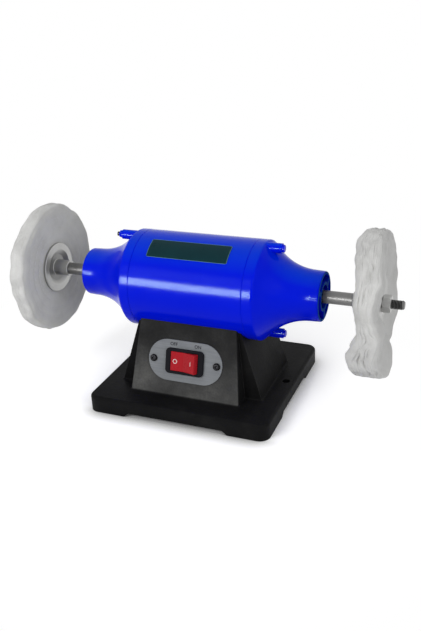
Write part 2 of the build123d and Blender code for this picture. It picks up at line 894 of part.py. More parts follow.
def make_switch_plate():
    sheet = SlotOverall(plate_length, plate_height)
    sheet -= Rectangle(switch_width + 2 * hole_gap, switch_height + 2 * hole_gap)
    sheet -= plate_screw_holes(plate_screw_r + hole_gap)
    return on_switch(extrude(sheet, plate_thick))


def make_plate_screws():
    screw = domed_screw(plate_screw_r, plate_thick + plate_screw_bite, plate_head_r, plate_head_thick)
    return [on_switch(Pos(x, 0, plate_thick) * screw) for x in (-plate_screw_x, plate_screw_x)]


def pivot_pin(radius, reach):
    return Pos(0, 0, pivot_z) * Rot(90, 0, 0) * extrude(Circle(radius), reach, both=True)


def make_switch_body():
    bezel = extrude(RectangleRounded(bezel_width, bezel_height, bezel_corner_r), bezel_thick)
    bezel = Pos(0, 0, plate_thick) * chamfer(bezel.faces().sort_by(Axis.Z)[-1].edges(), bezel_chamfer)
    case = Pos(0, 0, -switch_depth) * extrude(
        Rectangle(switch_width, switch_height), switch_depth + plate_thick
    )
    well_low = pivot_z - well_depth
    well = Pos(0, 0, well_low) * extrude(Rectangle(well_width, well_height), bezel_top - well_low + overrun)
    pins = pivot_pin(pivot_r + run_gap, rocker_height / 2 + pivot_length + run_gap)
    return on_switch(bezel + case - well - pins)


def make_switch_terminals():
    blades = []
    for x in range(column_count):
        for y in range(row_count):
            place = (
                (x - (column_count - 1) / 2) * blade_pitch_x,
                (y - (row_count - 1) / 2) * blade_pitch_y,
                -switch_depth - blade_length,
            )
            blade = extrude(Rectangle(blade_width, blade_thick), blade_length)
            blades.append(on_switch(Pos(place) * blade))
    return blades


def make_switch_rocker():
    # drawn level about its pivot, then tipped to its off position
    rise = rocker_crest + rocker_r * tan(radians(rocker_throw))
    top = Polyline(
        (-rocker_r, -rocker_skirt),
        (rocker_r, -rocker_skirt),
        (rocker_r, rise),
        (0, rocker_crest),
        (-rocker_r, rise),
        close=True,
    )
    profile = Circle(rocker_r) & make_face(top)
    rocker = extrude(Plane.XZ * profile, rocker_height / 2, both=True)
    rocker = fillet(rocker.faces().sort_by(Axis.Z)[-2:].edges(), rocker_edge_r)
    rocker = Rot(0, -rocker_throw, 0) * rocker
    rocker = Pos(0, 0, pivot_z) * rocker + pivot_pin(pivot_r, rocker_height / 2 + pivot_length)
    return on_switch(rocker)


nodes = {
    "base_casting": make_base_casting(),
    "bottom_cover": make_bottom_cover(),
    "cover_screws": make_cover_screws(),
    "cord_grommet": make_cord_grommet(),
    "terminal_block": make_terminal_block(),
    "terminal_screws": make_terminal_screws(),
    "run_capacitor": make_run_capacitor(),
    "capacitor_clip": make_capacitor_clip(),
    "clip_screws": make_clip_screws(),
    "lead_sleeve": make_lead_sleeve(),
    "motor_tube": make_motor_tube(),
    "motor_mount_bolts": make_mount_bolts(),
    "mount_washers": make_mount_washers(),
    "tie_bolts": make_tie_bolts(),
    "tie_bolt_nuts": make_tie_bolt_nuts(),
    "stator_core": make_stator_core(),
    "stator_windings": make_stator_windings(),
    "bearing_shields": make_bearing_shields(),
    "preload_washer": make_preload_washer(),
    "label_plate": make_label_plate(),
    "switch_plate": make_switch_plate(),
    "plate_screws": make_plate_screws(),
    "switch_body": make_switch_body(),
    "switch_terminals": make_switch_terminals(),
    "switch_rocker": make_switch_rocker(),
    "shaft": make_shaft(),
    "rotor_core": make_rotor_core(),
    "rotor_end_rings": make_rotor_end_rings(),
}
for name, side in (("left", -1), ("right", 1)):
    nodes["end_bell_" + name] = make_end_bell(side)
    nodes["bearing_outer_" + name] = make_bearing_outer(side)
    nodes["bearing_inner_" + name] = make_bearing_inner(side)
    nodes["bearing_balls_" + name] = make_bearing_balls(side)
    nodes["inner_flange_" + name] = make_inner_flange(side)
    nodes["outer_flange_" + name] = make_outer_flange(side)
    nodes["spindle_nut_" + name] = make_spindle_nut(side)
nodes["buff_wheel_left"] = make_buff_wheel(-1, sewn_rim_thick, sewn_rim_round, sewn_rings, sewn_puff)
nodes["buff_wheel_right"] = make_buff_wheel(1, loose_rim_thick, loose_rim_round, 1, loose_puff)

for name, piece in nodes.items():
    solids = piece if isinstance(piece, list) else [piece]
    whole = solids[0] if len(solids) == 1 else Compound(children=solids)
    export_step(whole, "parts/" + name + ".step")
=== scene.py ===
import json
import math

import bmesh
import bpy
from mathutils import Matrix, Vector, noise

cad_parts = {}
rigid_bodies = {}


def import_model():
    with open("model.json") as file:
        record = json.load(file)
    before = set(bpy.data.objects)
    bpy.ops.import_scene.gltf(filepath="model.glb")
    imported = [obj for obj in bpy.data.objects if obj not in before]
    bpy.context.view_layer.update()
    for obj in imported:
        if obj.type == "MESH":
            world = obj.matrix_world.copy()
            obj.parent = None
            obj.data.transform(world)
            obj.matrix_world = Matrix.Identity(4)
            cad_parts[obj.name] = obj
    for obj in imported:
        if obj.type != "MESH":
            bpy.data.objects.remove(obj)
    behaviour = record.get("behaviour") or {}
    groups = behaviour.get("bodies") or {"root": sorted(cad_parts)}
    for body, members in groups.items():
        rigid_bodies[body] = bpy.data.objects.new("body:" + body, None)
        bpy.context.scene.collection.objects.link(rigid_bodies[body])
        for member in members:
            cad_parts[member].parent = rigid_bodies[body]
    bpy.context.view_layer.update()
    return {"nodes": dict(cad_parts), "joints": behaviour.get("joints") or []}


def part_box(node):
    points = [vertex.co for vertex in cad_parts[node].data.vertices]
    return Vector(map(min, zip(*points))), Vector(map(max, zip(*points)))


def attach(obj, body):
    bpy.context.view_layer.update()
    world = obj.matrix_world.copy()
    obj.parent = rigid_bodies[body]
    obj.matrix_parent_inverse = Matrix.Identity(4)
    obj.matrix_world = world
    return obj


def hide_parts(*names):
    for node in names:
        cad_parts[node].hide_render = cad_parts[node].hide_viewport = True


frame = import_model()
nodes = frame["nodes"]
joints = {joint["name"]: joint for joint in frame["joints"]}
mm = 0.001
spindleHeight = joints["spindle_spin"]["pos_m"][2]
print("frame loaded,", len(nodes), "nodes")


# Shader wiring


def mathsNode(operation, swapped=False):
    # an operator of the class below
    def method(wire, other=0):
        first, second = (other, wire) if swapped else (wire, other)
        return wire.shader.maths(operation, first, second)
    return method


class Wire:
    # one output socket: sums of wires and numbers add Math nodes
    def __init__(self, shader, socket):
        self.shader = shader
        self.socket = socket

    __add__ = mathsNode("ADD")
    __radd__ = mathsNode("ADD", swapped=True)
    __sub__ = mathsNode("SUBTRACT")
    __rsub__ = mathsNode("SUBTRACT", swapped=True)
    __mul__ = mathsNode("MULTIPLY")
    __rmul__ = mathsNode("MULTIPLY", swapped=True)
    __gt__ = mathsNode("GREATER_THAN")
    __lt__ = mathsNode("LESS_THAN")
    __abs__ = mathsNode("ABSOLUTE")


class Shader:
    # a node tree with one method that adds any node
    def __init__(self, tree):
        self.tree = tree

    def node(self, kind, settings=None, sockets=None, out=0):
        made = self.tree.nodes.new("ShaderNode" + kind)
        for key, value in (settings or {}).items():
            if key == "stops":
                fillRamp(made.color_ramp, value)
            else:
                setattr(made, key, value)
        for key, value in (sockets or {}).items():
            self.feed(made.inputs[key], value)
        return Wire(self, made.outputs[out])

    def feed(self, socket, value):
        if isinstance(value, Wire):
            self.tree.links.new(value.socket, socket)
        else:
            socket.default_value = value

    def maths(self, operation, first, second):
        return self.node("Math", {"operation": operation}, {0: first, 1: second})

    def place(self, scale=(1, 1, 1), shift=(0, 0, 0)):
        coords = self.node("TexCoord", out="Object")
        return self.node("Mapping", None, {"Vector": coords, "Scale": scale, "Location": shift})

    def along(self, axis):
        # where a point lies along X, Y or Z
        return self.node("SeparateXYZ", None, {0: self.place()}, axis)

    def facing(self, axis):
        # how squarely the surface faces along X, Y or Z, from -1 to 1
        return self.node("SeparateXYZ", None, {0: self.node("NewGeometry", out="Normal")}, axis)

    def length(self, vector):
        return self.node("VectorMath", {"operation": "LENGTH"}, {0: vector}, "Value")

    def grain(self, scale, detail=3, rough=0.55, stretch=(1, 1, 1), shift=(0, 0, 0)):
        where = self.place(stretch, shift)
        return self.node("TexNoise", None, {
            "Vector": where, "Scale": scale, "Detail": detail, "Roughness": rough}, "Fac")

    def waves(self, axis, scale, distortion, detail):
        return self.node("TexWave", {"bands_direction": axis}, {
            "Vector": self.place(), "Scale": scale, "Distortion": distortion, "Detail": detail}, "Fac")

    def ramp(self, value, stops):
        return self.node("ValToRGB", {"stops": stops}, {0: value})

    def span(self, value, ends, to=(0, 1)):
        # stretches what lies between two ends to two other values, and holds those beyond the ends
        return self.node("MapRange", {"clamp": True}, {
            0: value, 1: ends[0], 2: ends[1], 3: to[0], 4: to[1]})

    def blend(self, factor, first, second):
        return self.node("Mix", {"data_type": "RGBA"}, {0: factor, 6: first, 7: second}, 2)

    def tint(self, colour, mask, ends, most, toward):
        # leans a colour toward another, the most where the mask reaches the second of two ends
        return self.blend(self.span(mask, ends, (0, most)), colour, toward)

    def rounded(self, radius):
        return self.node("Bevel", {"samples": 6}, {"Radius": radius})

    def edges(self, radius):
        # 0 on flat faces, rising on outer and inner corners
        sockets = {0: self.rounded(radius), 1: self.node("NewGeometry", out="Normal")}
        return 1 - self.node("VectorMath", {"operation": "DOT_PRODUCT"}, sockets, "Value")

    def bump(self, height, depth, rounding=None):
        sockets = {"Strength": 1.0, "Distance": depth, "Height": height}
        if rounding:
            sockets["Normal"] = self.rounded(rounding)
        return self.node("Bump", None, sockets)


def fillRamp(ramp, stops):
    while len(ramp.elements) < len(stops):
        ramp.elements.new(1.0)
    for element, (position, colour) in zip(ramp.elements, stops):
        element.position = position
        element.color = colour


def rgb(red, green, blue):
    return (red, green, blue, 1.0)


def surface(colour, roughness, normal, metallic=0.0, gloss=0.5, more=None):
    # what goes into the sockets of a finish
    return {
        "Base Color": colour, "Roughness": roughness, "Normal": normal, "Metallic": metallic,
        "Specular IOR Level": gloss, **(more or {}),
    }


def newFinish(name, sockets):
    # sockets is a function of the shader that gives a surface
    material = bpy.data.materials.new(name)
    material.use_nodes = True
    shader = Shader(material.node_tree)
    principled = material.node_tree.nodes["Principled BSDF"]
    for key, value in sockets(shader).items():
        shader.feed(principled.inputs[key], value)
    return material


# Finishes


bluePaint = {
    "deep": rgb(0.0, 0.0060, 0.61), "light": rgb(0.0, 0.0095, 0.70),
    # the edges' lighter, greener blue is a painted highlight
    "edge": rgb(0.005, 0.06, 0.66), "edgeWidth": 0.6 * mm,
    "gloss": 0.055, "glossTint": rgb(0.72, 1.0, 0.86),
    "peel": 0.02 * mm, "rounding": 0.5 * mm,
    # the upper side tinted a greener blue: a painted reflection of the pale light above
    "top": rgb(0.0, 0.06, 0.60), "topFacing": (0.60, 0.95), "topReflectionShare": 0.5,
    # the end faces of the bearing hubs: rougher, and tinted a dark teal as a painted reflection
    "hub": rgb(0.015, 0.14, 0.22), "hubFrom": 139.0 * mm, "hubFacing": 0.8,
    "hubReflectionShare": 0.6, "hubDull": 0.7,
}


def enamel(shader):
    # glossy royal blue with a slight orange peel
    paint = bluePaint
    colour = shader.blend(shader.grain(9), paint["deep"], paint["light"])
    # painted highlight: the edges are tinted a lighter, greener blue
    colour = shader.tint(colour, shader.edges(paint["edgeWidth"]), (0.03, 0.3), 0.22, paint["edge"])
    # painted reflection: surfaces that face up are tinted a greener blue
    colour = shader.tint(colour, shader.facing("Z"), paint["topFacing"], paint["topReflectionShare"], paint["top"])
    hubEnd = (abs(shader.along("X")) > paint["hubFrom"]) * (abs(shader.facing("X")) > paint["hubFacing"])
    # painted reflection: the hub end faces are tinted a dark teal; their roughness is raised too
    colour = shader.blend(hubEnd * paint["hubReflectionShare"], colour, paint["hub"])
    rough = shader.span(shader.grain(60, detail=4), (0.3, 0.75), (0.12, 0.20)) + hubEnd * paint["hubDull"]
    peel = shader.bump(shader.grain(420, detail=2, rough=0.5), paint["peel"], paint["rounding"])
    return surface(colour, rough, peel, gloss=paint["gloss"], more={"Specular Tint": paint["glossTint"]})


castPaint = {
    "black": [
        (0.25, rgb(0.004, 0.004, 0.0043)), (0.55, rgb(0.0068, 0.0068, 0.0071)),
        (0.8, rgb(0.013, 0.013, 0.0128))],
    "frontDustAndLight": [
        (0.4, rgb(0.036, 0.036, 0.036)), (0.7, rgb(0.072, 0.072, 0.071)), (0.95, rgb(0.13, 0.13, 0.125))],
    "grit": rgb(0.036, 0.036, 0.034),
    "edge": rgb(0.075, 0.075, 0.072), "edgeWidth": 0.9 * mm,
    "gloss": 0.045, "pitted": 0.16 * mm, "rounding": 0.8 * mm,
    # the pedestal's front: speckled grey dust and painted light on the leaning face, most at its foot,
    # fading upward as a painted shadow under the motor
    "plateTop": 20.0 * mm, "blendOver": 1.5 * mm, "shadowTop": 80.0 * mm, "greyLeftInShadow": 0.22,
    "lean": math.radians(16.1), "reach": 66.0 * mm,
}


def castBlack(shader):
    # semi-matt black paint on a sand casting: pitted and rubbed grey on the edges; the pedestal's front
    # speckled grey with dust and painted light, darker upward as painted shade
    paint = castPaint
    cloud = shader.grain(26, detail=5, rough=0.62)
    grit = shader.grain(520, detail=5, rough=0.7)
    pits = shader.node("TexVoronoi", None, {"Vector": shader.place(), "Scale": 330}, "Distance")
    foot = paint["plateTop"]
    height = shader.along("Z")
    forward = (height - foot) * math.tan(paint["lean"]) - shader.along("Y")
    front = shader.span(0 - shader.facing("Y"), (0.55, 0.85)) * (forward > paint["reach"])
    front = front * shader.span(height, (foot, foot + paint["blendOver"]))
    # painted shadow of the motor: the front's grey fades toward the top
    front = front * shader.span(height, (foot, paint["shadowTop"]), (1, paint["greyLeftInShadow"]))
    colour = shader.ramp(cloud, paint["black"])
    # painted light and dust: the pedestal's front is a lighter, speckled grey
    colour = shader.blend(front, colour, shader.ramp(cloud + 0.35 * grit, paint["frontDustAndLight"]))
    colour = shader.tint(colour, grit, (0.58, 0.82), 0.28, paint["grit"])
    worn = shader.edges(paint["edgeWidth"]) * cloud
    colour = shader.tint(colour, worn, (0.03, 0.22), 0.55, paint["edge"])
    rough = shader.span(cloud, (0.3, 0.75), (0.40, 0.62))
    pitted = shader.bump(grit + 0.6 * pits, paint["pitted"], paint["rounding"])
    return surface(colour, rough, pitted, gloss=paint["gloss"])


sheetGrey = {
    "dark": rgb(0.140, 0.149, 0.160), "light": rgb(0.275, 0.288, 0.305), "cloud": rgb(0.145, 0.153, 0.163),
    "metallic": 0.12, "gloss": 0.12, "brushed": 0.012 * mm, "rounding": 0.25 * mm,
}


def brushedSheet(shader):
    # grey sheet brushed from left to right
    sheet = sheetGrey
    lines = shader.grain(900, rough=0.6, stretch=(0.02, 1, 1))
    colour = shader.blend(lines, sheet["dark"], sheet["light"])
    colour = shader.tint(colour, shader.grain(45), (0.35, 0.7), 0.5, sheet["cloud"])
    rough = shader.span(lines, (0.2, 0.8), (0.38, 0.55))
    brushed = shader.bump(lines, sheet["brushed"], sheet["rounding"])
    return surface(colour, rough, brushed, sheet["metallic"], sheet["gloss"])


def moulded(low, high, roughness, gloss=0.4):
    # moulded plastic, rubber or thread of a colour between low and high, finely textured
    def sockets(shader):
        colour = shader.blend(shader.grain(70), rgb(*low), rgb(*high))
        rough = shader.span(shader.grain(160), (0.25, 0.75), (roughness - 0.06, roughness + 0.08))
        skin = shader.bump(shader.grain(1300, detail=2), depth=0.014 * mm, rounding=0.3 * mm)
        return surface(colour, rough, skin, gloss=gloss)
    return sockets


def metal(low, high, roughness, stretch=(1, 1, 1), lines=700, depth=0.01):
    # bare metal: tool lines are drawn out along the axes whose stretch is small
    def sockets(shader):
        tooling = shader.grain(lines, rough=0.6, stretch=stretch)
        colour = shader.blend(tooling, rgb(*low), rgb(*high))
        colour = shader.tint(colour, shader.grain(55, detail=4), (0.5, 0.8), 0.45, rgb(*low))
        rough = shader.span(tooling, (0.2, 0.8), (roughness - 0.07, roughness + 0.1))
        return surface(colour, rough, shader.bump(tooling, depth * mm, rounding=0.25 * mm), metallic=1.0)
    return sockets


innerFlange = {
    "sides": 96, "boreR": 5.05 * mm, "edge": 0.6 * mm,
    "collarR": 9.25 * mm, "chamfer": 0.6 * mm,
    "thick": 3.4 * mm, "landR": 21.5 * mm,
    "floorThick": 0.6 * mm, "floorR": 15.5 * mm,
    "dark": rgb(0.36, 0.36, 0.355), "light": rgb(0.50, 0.50, 0.49), "cloud": rgb(0.30, 0.30, 0.295),
    "dish": rgb(0.10, 0.10, 0.098), "dishStart": (9.45 * mm, 9.75 * mm), "dishShadeShare": 0.5, "dishDull": 0.12,
    "tooling": 0.008 * mm, "rounding": 0.25 * mm,
}


def dishedSteel(shader):
    # pressed steel, brightest on the outer ring and the collar, dull in the dish between them and darkened
    # there as painted shade
    cup = innerFlange
    radius = shader.length(shader.place((0, 1, 1), (0, 0, -spindleHeight)))
    tooling = shader.node("TexNoise", None, {
        "Vector": shader.node("CombineXYZ", None, {0: radius}), "Scale": 1500, "Detail": 2}, "Fac")
    inDish = shader.span(radius, cup["dishStart"])
    inDish = inDish * shader.span(radius, (cup["floorR"], cup["landR"]), (1, 0))
    colour = shader.blend(tooling, cup["dark"], cup["light"])
    colour = shader.tint(colour, shader.grain(70, detail=4), (0.5, 0.8), 0.4, cup["cloud"])
    # painted shade: the dish's colour is darkened
    colour = shader.blend(inDish * cup["dishShadeShare"], colour, cup["dish"])
    rough = shader.span(tooling, (0.2, 0.8), (0.28, 0.42)) + inDish * cup["dishDull"]
    return surface(colour, rough, shader.bump(tooling, cup["tooling"], cup["rounding"]), metallic=1.0)


windingWire = {
    "dark": rgb(0.16, 0.05, 0.02), "light": rgb(0.50, 0.19, 0.07), "metallic": 0.7, "strands": 0.2 * mm,
}


def copperWire(shader):
    # varnished winding wire, laid round the spindle
    strands = shader.waves("X", 380, distortion=2.5, detail=2)
    cloud = shader.grain(60)
    colour = shader.blend(strands * cloud, windingWire["dark"], windingWire["light"])
    rough = shader.span(cloud, (0.3, 0.7), (0.3, 0.45))
    return surface(colour, rough, shader.bump(strands, windingWire["strands"]), windingWire["metallic"])


cottonCloth = {
    "plain": [(0.25, rgb(0.47, 0.47, 0.46)), (0.5, rgb(0.60, 0.60, 0.59)), (0.75, rgb(0.70, 0.70, 0.69))],
    "dust": rgb(0.38, 0.38, 0.375), "fuzz": rgb(0.78, 0.78, 0.77),
    # inner: a painted warm tint against the blue light from the paint; outer: painted shade on the outer
    # faces
    "inner": rgb(0.64, 0.64, 0.54), "outer": rgb(0.42, 0.42, 0.415),
    "roughness": 0.92, "gloss": 0.1, "sheen": 0.25, "sheenRoughness": 0.5,
    "threads": 520, "nap": 0.35 * mm,
}


def cotton(shader):
    # white cotton: two threads over and under, fuzz and dust; a painted warm tint on the faces toward the
    # motor cancels the blue light thrown from its paint, and the outer faces are darker grey as painted
    # shade
    cloth = cottonCloth
    across, down = [shader.waves(axis, cloth["threads"], distortion=1.2, detail=1) for axis in "YZ"]
    fuzz = shader.grain(900, detail=5, rough=0.72)
    cloud = shader.grain(38, detail=5, rough=0.6)
    dust = shader.grain(15, detail=4, rough=0.6, shift=(0.3, 0.1, 0.2))
    colour = shader.ramp(cloud, cloth["plain"])
    colour = shader.tint(colour, dust, (0.52, 0.75), 0.35, cloth["dust"])
    colour = shader.tint(colour, fuzz, (0.45, 0.75), 0.25, cloth["fuzz"])
    inward = shader.facing("X") * (1 - 2 * (shader.along("X") > 0))
    # a painted warm tint: faces toward the motor are warmed to cancel the blue light its paint throws on
    # them
    colour = shader.tint(colour, inward, (0.5, 0.95), 0.35, cloth["inner"])
    # painted shade: the outer faces are a darker grey
    colour = shader.tint(colour, 0 - inward, (0.3, 0.9), 0.5, cloth["outer"])
    nap = shader.bump(0.5 * across * down + 0.8 * fuzz + 1.5 * cloud, cloth["nap"])
    sheen = {"Sheen Weight": cloth["sheen"], "Sheen Roughness": cloth["sheenRoughness"]}
    return surface(colour, cloth["roughness"], nap, gloss=cloth["gloss"], more=sheen)


labelPlate = {
    "dark": rgb(0.003, 0.022, 0.028), "light": rgb(0.005, 0.033, 0.040), "gloss": 0.06, "peel": 0.01 * mm,
    "line": rgb(0.10, 0.22, 0.25), "lineInset": 0.15 * mm, "lineWidth": 0.45 * mm,
}


def lacqueredLabel(shader):
    # dark lacquer with a fine bright line round its edge, and nothing on it
    plate = labelPlate
    low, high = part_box("label_plate")
    outer = Vector((0, low.y, low.z - spindleHeight))
    inner = Vector((0, high.y, high.z - spindleHeight))
    start = math.atan2(-inner.y, inner.z)
    end = math.atan2(-outer.y, outer.z)
    angle = shader.maths("ARCTAN2", 0 - shader.along("Y"), shader.along("Z") - spindleHeight)
    fromSide = (high.x - low.x) / 2 - abs(shader.along("X") - (low.x + high.x) / 2)
    fromEnd = ((end - start) / 2 - abs(angle - (start + end) / 2)) * outer.length
    nearest = shader.maths("MINIMUM", fromSide, fromEnd)
    line = (nearest > plate["lineInset"]) * (nearest < plate["lineInset"] + plate["lineWidth"])
    cloud = shader.grain(60, detail=4)
    colour = shader.blend(line, shader.blend(cloud, plate["dark"], plate["light"]), plate["line"])
    rough = shader.span(cloud, (0.3, 0.7), (0.26, 0.4))
    peel = shader.bump(shader.grain(500, detail=2), plate["peel"])
    return surface(colour, rough, peel, gloss=plate["gloss"])


tieBolt = {
    "dark": rgb(0.012, 0.012, 0.014), "light": rgb(0.035, 0.035, 0.038), "head": rgb(0.0, 0.0075, 0.66),
    "gloss": 0.12, "peel": 0.02 * mm, "rounding": 0.3 * mm,
}


def boltPaint(shader):
    # a blue painted head on the right, a blackened thread on the left
    cloud = shader.grain(80)
    thread = shader.blend(cloud, tieBolt["dark"], tieBolt["light"])
    colour = shader.blend(shader.along("X") > 0, thread, tieBolt["head"])
    rough = shader.span(cloud, (0.3, 0.7), (0.2, 0.34))
    peel = shader.bump(cloud, tieBolt["peel"], tieBolt["rounding"])
    return surface(colour, rough, peel, gloss=tieBolt["gloss"])


finishes = {
    "enamel": newFinish("blueEnamel", enamel),
    "cast": newFinish("castBlack", castBlack),
    "plate": newFinish("brushedSheet", brushedSheet),
    "label": newFinish("lacqueredLabel", lacqueredLabel),
    "tie": newFinish("tieBoltPaint", boltPaint),
    "cotton": newFinish("cottonCloth", cotton),
    "dished": newFinish("dishedSteel", dishedSteel),
    "copper": newFinish("windingCopper", copperWire),
}

# the material's name, its darkest and lightest colour, roughness, and gloss where it isn't the usual one
mouldedFinishes = {
    "sewing": ("cottonThread", (0.55, 0.55, 0.53), (0.74, 0.74, 0.72), 0.85, 0.1),
    "bezel": ("blackBezel", (0.004, 0.004, 0.006), (0.009, 0.009, 0.012), 0.40, 0.10),
    "rocker": ("redRocker", (0.31, 0.008, 0.014), (0.40, 0.012, 0.020), 0.30, 0.14),
    "rubber": ("blackRubber", (0.007, 0.007, 0.007), (0.016, 0.016, 0.016), 0.6, 0.15),
    "mark": ("whiteMark", (0.66, 0.54, 0.52), (0.78, 0.66, 0.63), 0.5, 0.2),
    "print": ("greyPrint", (0.030, 0.030, 0.036), (0.05, 0.05, 0.056), 0.6, 0.1),
    "white": ("whitePlastic", (0.66, 0.65, 0.60), (0.78, 0.77, 0.72), 0.5),
    "can": ("greyCan", (0.30, 0.30, 0.31), (0.40, 0.40, 0.41), 0.45),
    "sheet": ("blackSheet", (0.016, 0.016, 0.017), (0.035, 0.035, 0.035), 0.5),
}
for key, (name, *look) in mouldedFinishes.items():
    finishes[key] = newFinish(name, moulded(*look))

# the material's name, its darkest and lightest colour, roughness, then the stretch, the scale and the
# depth in mm of its tool lines, where they aren't the usual ones
metalFinishes = {
    "turned": (
        "turnedSteel", (0.145, 0.145, 0.142), (0.215, 0.213, 0.21), 0.36, (1, 0.03, 0.03), 1600, 0.001),
    "screwThread": ("darkThread", (0.014, 0.014, 0.015), (0.040, 0.040, 0.042), 0.42),
    "pressed": ("pressedSteel", (0.34, 0.34, 0.335), (0.54, 0.54, 0.53), 0.34, (1, 0.25, 0.25)),
    "nut": ("greyNut", (0.46, 0.46, 0.455), (0.68, 0.68, 0.67), 0.42, (0.2, 1, 1)),
    "screw": ("blackScrew", (0.007, 0.007, 0.008), (0.020, 0.020, 0.022), 0.34),
    "zinc": ("zincPlate", (0.42, 0.42, 0.40), (0.60, 0.60, 0.57), 0.34),
    "brass": ("brightBrass", (0.50, 0.33, 0.10), (0.68, 0.48, 0.18), 0.3),
    "bearing": ("bearingSteel", (0.40, 0.40, 0.42), (0.62, 0.62, 0.64), 0.16, (1, 0.05, 0.05)),
    "core": ("coreSheets", (0.14, 0.14, 0.15), (0.30, 0.30, 0.31), 0.42, (1, 0.02, 0.02), 1200),
    "alloy": ("rotorAlloy", (0.45, 0.45, 0.46), (0.62, 0.62, 0.62), 0.4),
}
for key, (name, *look) in metalFinishes.items():
    finishes[key] = newFinish(name, metal(*look))

wornBy = {
    "cast": ["base_casting"],
    "sheet": ["bottom_cover"],
    "zinc": ["cover_screws", "capacitor_clip", "clip_screws", "motor_mount_bolts", "mount_washers"],
    "rubber": ["cord_grommet", "lead_sleeve"],
    "white": ["terminal_block"],
    "brass": ["terminal_screws", "switch_terminals"],
    "can": ["run_capacitor"],
    "enamel": ["motor_tube", "tie_bolt_nuts", "end_bell_left", "end_bell_right"],
    "tie": ["tie_bolts"],
    "core": ["stator_core", "rotor_core"],
    "alloy": ["rotor_end_rings"],
    "copper": ["stator_windings"],
    "bearing": [
        "bearing_shields", "preload_washer", "bearing_outer_left", "bearing_outer_right",
        "bearing_inner_left", "bearing_inner_right", "bearing_balls_left", "bearing_balls_right"],
    "label": ["label_plate"],
    "plate": ["switch_plate"],
    "screw": ["plate_screws"],
    "bezel": ["switch_body"],
    "rocker": ["switch_rocker"],
    "turned": ["shaft"],
    "dished": ["inner_flange_left", "inner_flange_right"],
    "pressed": ["outer_flange_left", "outer_flange_right"],
    "nut": ["spindle_nut_left", "spindle_nut_right"],
    "cotton": ["buff_wheel_left", "buff_wheel_right"],
}
for finish, names in wornBy.items():
    for name in names:
        nodes[name].data.materials.clear()
        nodes[name].data.materials.append(finishes[finish])
print("finishes on", sum(len(names) for names in wornBy.values()), "nodes")


# Modelling helpers


mergeReach = 0.0005 * mm


def selectOnly(piece):
    bpy.ops.object.select_all(action="DESELECT")
    piece.select_set(True)
    bpy.context.view_layer.objects.active = piece


def newPiece(name, add, **where):
    # adds a primitive with nothing else selected and opens it in edit mode
    bpy.ops.object.select_all(action="DESELECT")
    add(**where)
    piece = bpy.context.object
    piece.name = name
    piece.data.name = name
    bpy.ops.object.mode_set(mode="EDIT")
    return piece


def copyPiece(piece, name):
    copied = bpy.data.objects.new(name, piece.data.copy())
    bpy.context.collection.objects.link(copied)
    return copied


def pick(piece, kind, test):
    # selects the faces or the edges that pass a test, and nothing else
    bpy.ops.mesh.select_mode(type=kind)
    bpy.ops.mesh.select_all(action="DESELECT")
    mesh = bmesh.from_edit_mesh(piece.data)
    for part in mesh.faces if kind == "FACE" else mesh.edges:
        part.select_set(test(part))
    bmesh.update_edit_mesh(piece.data)


def pickOpenEdges():
    bpy.ops.mesh.select_mode(type="EDGE")
    bpy.ops.mesh.select_all(action="DESELECT")
    bpy.ops.mesh.select_non_manifold()


def extrudeBy(shift):
    bpy.ops.mesh.extrude_region_move(TRANSFORM_OT_translate={"value": shift})


def roundPiece(name, sides, centre, axis, steps, fill="NGON"):
    # a circle drawn out along an axis, X or Z, through (distance, radius) steps
    centre = Vector(centre)
    axis = Vector(axis)
    reach, radius = steps[0]
    piece = newPiece(
        name, bpy.ops.mesh.primitive_circle_add, vertices=sides, radius=radius, fill_type=fill,
        location=centre + axis * reach, rotation=(0, math.pi / 2 if axis.x else 0, 0))
    for nextReach, nextRadius in steps[1:]:
        extrudeBy(axis * (nextReach - reach))
        scale = [1.0 if part else nextRadius / radius for part in axis]
        bpy.ops.transform.resize(value=scale, center_override=centre + axis * nextReach)
        reach, radius = nextReach, nextRadius
    return piece


def closePiece(piece):
    # merges doubles, points the faces outwards and puts the place into the mesh
    bpy.ops.mesh.select_all(action="SELECT")
    bpy.ops.mesh.remove_doubles(threshold=mergeReach)
    bpy.ops.mesh.normals_make_consistent(inside=False)
    bpy.ops.object.mode_set(mode="OBJECT")
    bpy.ops.object.transform_apply(location=True, rotation=True, scale=True)


def applyModifier(piece, kind, **settings):
    modifier = piece.modifiers.new(kind.lower(), kind)
    for key, value in settings.items():
        setattr(modifier, key, value)
    bpy.ops.object.modifier_apply(modifier=modifier.name)


def dress(piece, body, finish, angle=35):
    selectOnly(piece)
    bpy.ops.object.shade_smooth_by_angle(angle=math.radians(angle))
    piece.data.materials.clear()
    piece.data.materials.append(finishes[finish])
    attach(piece, body)


# The cloth wheels


sewnWheel = {
    "node": "buff_wheel_left",
    "side": -1,
    "end": "left",
    "plies": 12,
    "round": 4.6 * mm,
    "rows": 4,
    "puff": 0.9 * mm,
    "plyDepth": 0.40 * mm,
    "bundles": 2,
    "foldDepth": 0.9 * mm,
    "lump": 1.6 * mm,
    "lumpNoise": (0.6, 4.6, 4.0),
    "grow": 0.4 * mm,
    "flutter": 1.5 * mm,
    "wrinkle": 0.5 * mm,
    "crumple": 0.5 * mm,
    "ragged": 0.6 * mm,
    "pleat": 0.15 * mm,
    "pleats": 17,
    # worn and bulged places of the rim: turn in degrees from the back over the top, half its width in
    # degrees, height in mm
    "bumps": [
        (135, 9, -0.6), (150, 8, 2.4), (160.5, 5, -1.2), (170.5, 8, 2.4), (199, 13, -3.2), (213, 7, 1.0),
        (75, 12, 0.9), (52, 8, -0.9), (290, 10, 1.2), (330, 12, -1.0),
    ],
    "fan": None,
    "seed": 3.7,
    "fill": 0.85,
}

